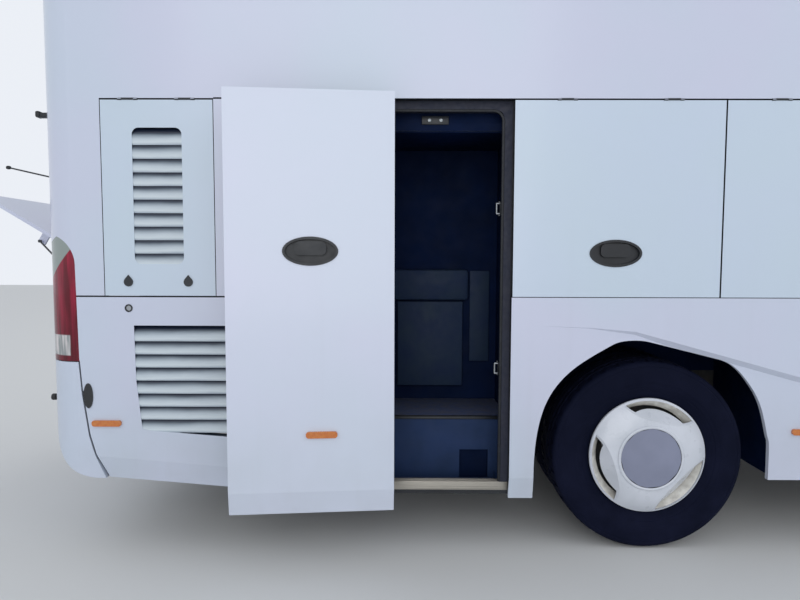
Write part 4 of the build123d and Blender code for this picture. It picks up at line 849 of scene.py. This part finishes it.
def shapePad(x, y, z, size, cuts, crown, tuck, channels, finish, tilt=0):  # crowned, sides pulled in
    bpy.ops.object.select_all(action="DESELECT")
    bpy.ops.mesh.primitive_cube_add(size=2)
    pad = bpy.context.object
    bpy.ops.object.mode_set(mode="EDIT")
    bpy.ops.mesh.select_all(action="SELECT")
    bpy.ops.mesh.subdivide(number_cuts=cuts)
    bpy.ops.object.mode_set(mode="OBJECT")
    shape = padShape
    halfLong, halfWide, halfHigh = [s / 2000 for s in size]
    for vertex in pad.data.vertices:
        u, v, w = vertex.co
        rounded = 1 - shape["edgeRound"] * (abs(u) ** 6 + abs(v) ** 6) * abs(w) ** 3
        drawn = 1 - shape["edgeDraw"] * abs(w) ** 4
        along = u * halfLong * drawn * (1 - tuck * (1 - v * v) * abs(u) ** 3)
        across = v * halfWide * drawn * (1 - tuck * (1 - u * u) * abs(v) ** 3)
        up = w * halfHigh * rounded * (1 - shape["cornerDrop"] * (u * u * v * v) ** 1.5)
        if w > 0:
            swell = (1 - u * u) * (1 - v * v)
            sewn = sum(math.exp(-(((v - c) / shape["channelWidth"]) ** 2)) for c in channels)
            seam = math.exp(-(((u - shape["seamAt"]) / shape["seamWidth"]) ** 2)) if channels else 0
            sunk = shape["channelDepth"] * sewn * (1 - u**4) + shape["seamDepth"] * seam * (1 - v**4)
            up += w * (crown * swell - sunk)
        vertex.co = (along, across, up)
    pad.rotation_euler = (0, math.radians(tilt), 0)
    pad.location = place(x, y, z)
    return settle(pad, finish)


def makeSeatPair(count):
    pads, frames = [], []
    width, lean, channels = seatPlan["width"], seatPlan["lean"], (-0.62, 0.62)
    for i in range(count):
        y = (i - (count - 1) / 2) * width
        cushion, back, head = (470, width - 22, 112), (690, width - 22, 96), (170, width - 110, 96)
        pads.append(shapePad(15, y, 392, cushion, 9, 0.006, 0.03, channels, "moquette"))
        pads.append(shapePad(-272, y, 735, back, 9, 0.006, 0.03, channels, "moquette", lean))
        pads.append(shapePad(-316, y, 1010, head, 5, 0.004, 0.04, (), "vinyl", lean))
        frames.append(addBlock(-318, y, 762, (700, width - 30, 12), "black", 5, (0, lean, 0)))
        frames.append(addBlock(10, y, 334, (440, width - 40, 14), "black", 4))
    half = count * width / 2
    for y in [half - 6, -half + 6] + ([0] if count == 2 else []):
        frames.append(addBlock(-60, y, 590, (330, 34, 26), "vinyl", 9, (0, 4, 0)))
        frames.append(addBlock(-215, y, 500, (26, 16, 190), "black", 4, (0, -12, 0)))
    for x in (-110, 110):
        frames.append(addRod((x, 0, 8), (x, 0, 330), 22, "steel", 14, 2))
    frames.append(addBlock(0, 0, 6, (310, 110, 12), "black", 3))
    frames.append(addRod((-345, half - 60, 860), (-345, -half + 60, 860), 11, "chrome", 12, 2))
    for x in (-60, 110):
        frames.append(addRod((x, half - 40, 318), (x, -half + 40, 318), 12, "steel", 10))
    return pads, frames


def gatherCopies(pieces, seatPlaces):  # joined, with a copy of the mesh at each other place
    bpy.ops.object.select_all(action="DESELECT")
    for piece in pieces:
        piece.select_set(True)
    bpy.context.view_layer.objects.active = pieces[0]
    bpy.ops.object.join()
    first = bpy.context.view_layer.objects.active
    made = [copyPiece(first, *spot) for spot in seatPlaces[1:]]
    first.location = Vector(seatPlaces[0]) / 1000
    settle(first)
    return [first] + made


def makeSeats():
    plan = seatPlan
    rowMiddle, lowerFloor = plan["rowMiddle"], plan["lowerFloor"]
    seatPlaces = []
    for i in range(plan["upperRows"]):
        x = plan["upperStart"] + i * plan["pitch"]
        seatPlaces.append((x, -rowMiddle, plan["upperFloor"]))
        if not plan["stair"][0] < x < plan["stair"][1]:
            seatPlaces.append((x, rowMiddle, plan["upperFloor"]))
    for i in range(plan["lowerRows"]):
        seatPlaces.append((plan["lowerStart"] + i * plan["pitch"], -rowMiddle, lowerFloor))
    seatPlaces.append((plan["lowerStart"], rowMiddle, lowerFloor))
    pads, frames = makeSeatPair(2)
    padCopies = gatherCopies(pads, seatPlaces)
    frameCopies = gatherCopies(frames, seatPlaces)
    pads, frames = makeSeatPair(1)
    driver = [(*plan["driver"], lowerFloor)]
    padCopies += gatherCopies(pads, driver)
    frameCopies += gatherCopies(frames, driver)
    cushions = joinPieces(padCopies, "seat_cushions", "coach", 60)
    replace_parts(cushions, "seats")
    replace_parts(joinPieces(frameCopies, "seat_frames", "coach"), "seats")


makeSeats()
print("seats are made")


engineBay = {
    "tail": -2985,
    "pulleys": ((0, 640, 112), (-150, 880, 74), (170, 1010, 58), (-60, 1150, 66)),  # y, z, radius
    "cylinders": 6,
    "cylinderGap": 124,
    "finRows": 13,
    "hoses": (
        (30, (-2250, -1080, 1130), (-2250, -700, 1130), (-2330, -560, 1240), (-2330, -330, 1240)),
        (30, (-2560, -1080, 700), (-2700, -640, 700), (-2960, -300, 760), (-2985, -150, 860)),
        (52, (-2420, -640, 1370), (-2200, -640, 1370), (-2120, -400, 1300), (-2200, -300, 1240)),
        (20, (-2640, 600, 1340), (-2640, 420, 1300), (-2640, 330, 1260)),
    ),
}


def pipeRun(points, radius, finish, sides=16):  # straight lengths with ball elbows
    made = []
    for start, end in zip(points, points[1:]):
        made.append(addRod(start, end, radius, finish, sides))
    for spot in points[1:-1]:
        bpy.ops.object.select_all(action="DESELECT")
        bpy.ops.mesh.primitive_uv_sphere_add(
            segments=sides, ring_count=10, radius=radius * 1.04 / 1000, location=place(*spot)
        )
        made.append(settle(bpy.context.object, finish))
    return made


def makeEngineBay():
    x = engineBay["tail"]
    engine = [
        addBlock(-2530, 0, 1368, (740, 250, 76), "alloy", 18),
        addBlock(-2530, 0, 1330, (800, 320, 16), "alloy", 4),
        addBlock(-2970, 0, 880, (26, 560, 760), "alloy", 10),
        addBlock(-2530, 372, 1150, (640, 26, 240), "alloy", 10),
    ]
    for i in range(engineBay["cylinders"]):
        at = -2840 + i * engineBay["cylinderGap"]
        engine.append(addBlock(at, 0, 1406, (60, 190, 14), "iron", 5))
        for y in (-140, 140):
            engine.append(addRod((at, y, 1336), (at, y, 1348), 11, "steel", 6))
        engine += pipeRun([(at, -350, 1190), (at, -430, 1190), (at, -455, 1130)], 26, "iron", 12)
    engine.append(addRod((-2880, -462, 1110), (-2180, -462, 1110), 46, "iron", 18, 6))
    joinPieces(engine, "engine_covers", "coach")
    drive = []
    for y, z, radius in engineBay["pulleys"]:
        drive.append(addRod((x, y, z), (x - 52, y, z), radius, "steel", 36, 4))
        drive.append(addRing((x - 18, y, z), radius - 2, 5, (1, 0, 0), "iron"))
        drive.append(addRod((x - 50, y, z), (x - 62, y, z), radius * 0.35, "iron", 18, 3))
    loop = engineBay["pulleys"]
    for (y0, z0, r0), (y1, z1, r1) in zip(loop, loop[1:] + loop[:1]):
        way = Vector((0, y1 - y0, z1 - z0)).normalized()
        side = Vector((0, way.z, -way.y))
        start = Vector((x - 36, y0, z0)) + side * r0
        end = Vector((x - 36, y1, z1)) + side * r1
        middle = (start + end) / 2
        lean = math.degrees(math.atan2(end.z - start.z, end.y - start.y))
        drive.append(addBlock(*middle, (24, (end - start).length, 9), "hose", 2, (lean, 0, 0)))
    drive.append(addRod((-2972, 170, 1010), (-2820, 170, 1010), 84, "alloy", 28, 10))
    joinPieces(drive, "belt_drive", "coach")
    cooling = [
        addBlock(-2440, -1120, 905, (560, 60, 560), "alloy", 8),
        addBlock(-2440, -1084, 905, (600, 18, 600), "black", 6),
        addBlock(-2680, 690, 1400, (260, 200, 170), "vinyl", 34),
        addRod((-2680, 690, 1480), (-2680, 690, 1510), 34, "black", 20, 5),
        addRod((-2840, -640, 1370), (-2420, -640, 1370), 118, "black", 32, 12),
        addRod((-2860, -640, 1370), (-2838, -640, 1370), 126, "steel", 32, 4),
    ]
    for row in range(engineBay["finRows"]):
        cooling.append(addBlock(-2440, -1152, 660 + row * 41, (540, 8, 7), "iron", 0))
    for radius, *points in engineBay["hoses"]:
        cooling += pipeRun(points, radius, "hose")
    joinPieces(cooling, "cooling_and_air", "coach")


makeEngineBay()
print("engine bay is fitted")


def onSkin(node, x, y, z, way):  # where a line from there meets a piece's skin, and its normal
    return nodes[node].ray_cast(place(x, y, z), Vector(way))[1:3]


def backToMillimetres(spot):
    return (spot.x - rearAxle) * 1000, spot.y * 1000, spot.z * 1000


def setOn(piece, spot, normal, up=(0, 0, 1)):  # drawn flat at the origin, facing +Z with its top to +Y
    facing = normal.normalized()
    top = (Vector(up) - facing * facing.dot(Vector(up))).normalized()
    side = top.cross(facing)
    turn = Matrix((side, top, facing)).transposed().to_4x4()
    home = Matrix.Translation(-place(0, 0, 0))
    piece.matrix_world = Matrix.Translation(spot) @ turn @ home @ piece.matrix_world
    return settle(piece)


noseFittings = {
    "plate": (520, 112),
    "frontPlate": 350,
    "rearPlate": 800,
    "projectors": (850, 985),
    "lampHeight": 700,
    "wipers": (330, -760),
    "wiperHub": 1068,
    "bladeFoot": 1112,
    "bladeStep": (62, 16),
    "ahead": 9200,  # rays start there
    "behind": -3500,
}


def flatPlate(spot, normal, name):
    wide, high = noseFittings["plate"]
    made = [
        addBlock(0, 0, -5.5, (wide + 14, high + 14, 17), "black", 1),
        addBlock(0, 0, 3.5, (wide, high, 2), "plate", 0.6),
        addBlock(0, high / 2 - 2, 4.5, (wide, 2, 1), "black", 0),
        addBlock(0, -high / 2 + 2, 4.5, (wide, 2, 1), "black", 0),
    ]
    for x in (-180, 180):
        made.append(addRod((x, 0, 4), (x, 0, 6), 5, "steel", 12, 0.8))
    joinPieces([setOn(piece, spot, normal) for piece in made], name, "coach")


def makeProjectors():
    ahead, height = noseFittings["ahead"], noseFittings["lampHeight"]
    lights = []
    for side in (-1, 1):
        for y in noseFittings["projectors"]:
            spot, normal = onSkin("headlamps", ahead, side * y, height, (-1, 0, 0))
            for piece in (
                addRing((0, 0, 0), 68, 6, (0, 0, 1), "chrome", 40),
                addRing((0, 0, 0), 52, 3, (0, 0, 1), "gloss", 40),
                addRod((0, 0, -6), (0, 0, 2), 48, "clearLens", 40, 4),
                addRod((0, 0, -2), (0, 0, 4), 20, "chrome", 28, 3),
            ):
                lights.append(setOn(piece, spot, normal))
    joinPieces(lights, "headlamp_projectors", "coach")


def makeWipers():
    ahead = noseFittings["ahead"]
    across, up = noseFittings["bladeStep"]
    wipers = []
    for first in noseFittings["wipers"]:
        hub, facing = onSkin("front_shell", ahead, first, noseFittings["wiperHub"], (-1, 0, 0))
        wipers.append(setOn(addRod((0, 0, -10), (0, 0, 12), 20, "black", 20, 3), hub, facing))
        points = []
        for step in range(8):
            y, z = first + step * across, noseFittings["bladeFoot"] + step * up
            onGlass, facing = onSkin("windscreens", ahead, y, z, (-1, 0, 0))
            points.append((onGlass + facing * 0.007, facing))
        for start, end in zip(points, points[1:]):
            blade = backToMillimetres(start[0]), backToMillimetres(end[0])
            wipers.append(addRod(*blade, 6, "hose", 8))
        middle = points[3][0] + points[3][1] * 0.006
        x, y, z = backToMillimetres(hub)
        wipers.append(addRod((x + 6, y, z), backToMillimetres(middle), 7, "black", 12))
    joinPieces(wipers, "wipers", "coach")


def makeCabFittings():  # the blank box over the windscreen's middle and the driver's gauges
    cab = [
        addBlock(8130, 0, 2110, (70, 1100, 130), "black", 10),
        addBlock(8168, 0, 2110, (4, 1020, 96), "gloss", 1),
        addBlock(8290, 700, 1075, (180, 460, 30), "vinyl", 12),
        addBlock(8246, 700, 1108, (60, 400, 70), "black", 16),
    ]
    for y in (610, 790):
        cab.append(addRod((8216, y, 1112), (8210, y, 1113), 42, "gloss", 28, 2))
        cab.append(addRing((8212, y, 1112), 42, 3, (1, 0, 0), "chrome", 28))
    joinPieces(cab, "cab_fittings", "coach")


def makeNose():
    behind, rearPlate = noseFittings["behind"], noseFittings["rearPlate"]
    flatPlate(*onSkin("rear_bumper", behind, 0, rearPlate, (1, 0, 0)), "rear_plate")
    ahead, frontPlate = noseFittings["ahead"], noseFittings["frontPlate"]
    flatPlate(*onSkin("front_bumper", ahead, 0, frontPlate, (-1, 0, 0)), "front_plate")
    makeProjectors()
    makeWipers()
    makeCabFittings()


makeNose()
print("nose and plates are fitted")


def upright(point, degrees):  # a turn about an upright line
    spot = place(point[0], point[1], 0)
    turn = Matrix.Rotation(math.radians(degrees), 4, "Z")
    return Matrix.Translation(spot) @ turn @ Matrix.Translation(-spot)


def swingOpen(piece):  # a piece drawn on the shut tall door goes where the open one stands
    onArm = upright(doorWay["pin"], doorWay["turn"])
    piece.matrix_world = upright(doorWay["column"], doorWay["swing"]) @ onArm @ piece.matrix_world
    return settle(piece)


def makeDoorLining():
    made = [
        addBlock(-1145, -1226, 1330, (640, 8, 1720), "primer", 3),
        addBlock(-1145, -1221, 1560, (420, 6, 900), "grey", 3),
        addBlock(-810, -1222, 1330, (26, 14, 1500), "steel", 3),
        addBlock(-814, -1216, 1565, (40, 16, 120), "black", 5),
    ]
    for z in (480, 700, 1100, 1330, 1800, 2140):
        for x in (-1430, -860):
            made.append(addRod((x, -1226, z), (x, -1219, z), 9, "black", 14, 2))
    joinPieces([swingOpen(piece) for piece in made], "tall_door_lining", "tall_door")


makeDoorLining()
print("tall door is lined")


studio = {"size": 60, "floor": "#DADBDA", "sky": 0.8}


def makeStudio():
    bpy.ops.object.select_all(action="DESELECT")
    bpy.ops.mesh.primitive_plane_add(size=studio["size"], location=(0, 0, 0))
    floor = bpy.context.object
    floor.name = "studio_floor"
    material, tree, shader = newMaterial("paleFloor", Roughness=0.85)
    shader.inputs["Base Color"].default_value = colour(studio["floor"])
    floor.data.materials.append(material)
    world = bpy.data.worlds.new("studio")
    world.use_nodes = True
    tree = world.node_tree
    tree.nodes.clear()
    path = addNode(tree, "ShaderNodeLightPath").outputs
    seen = combine(tree, "MAXIMUM", path["Is Camera Ray"], path["Is Glossy Ray"])
    seen = combine(tree, "MAXIMUM", seen, path["Is Transmission Ray"])
    strength = share(tree, seen, 0, 1, studio["sky"], 0.95)
    light = addNode(
        tree, "ShaderNodeBackground", inputs={"Color": colour("#F1F5FC"), "Strength": strength}
    )
    addNode(tree, "ShaderNodeOutputWorld", inputs={"Surface": light.outputs[0]})
    bpy.context.scene.world = world
    for name, power, at, size in (
        ("key", 400, (-4.5, -13, 4.5), 9),
        ("fill", 160, (9, -9, 7), 8),
        ("back", 300, (4, 11, 9), 9),
    ):
        data = bpy.data.lights.new(name, "AREA")
        data.energy = power
        data.size = size
        lamp = bpy.data.objects.new(name, data)
        bpy.context.scene.collection.objects.link(lamp)
        way = Vector((0, 0, 1.5)) - Vector(at)
        lamp.matrix_world = Matrix.Translation(at) @ way.to_track_quat("-Z", "Y").to_matrix().to_4x4()


makeStudio()
bpy.context.scene.view_settings.view_transform = "Standard"
print("studio is lit")
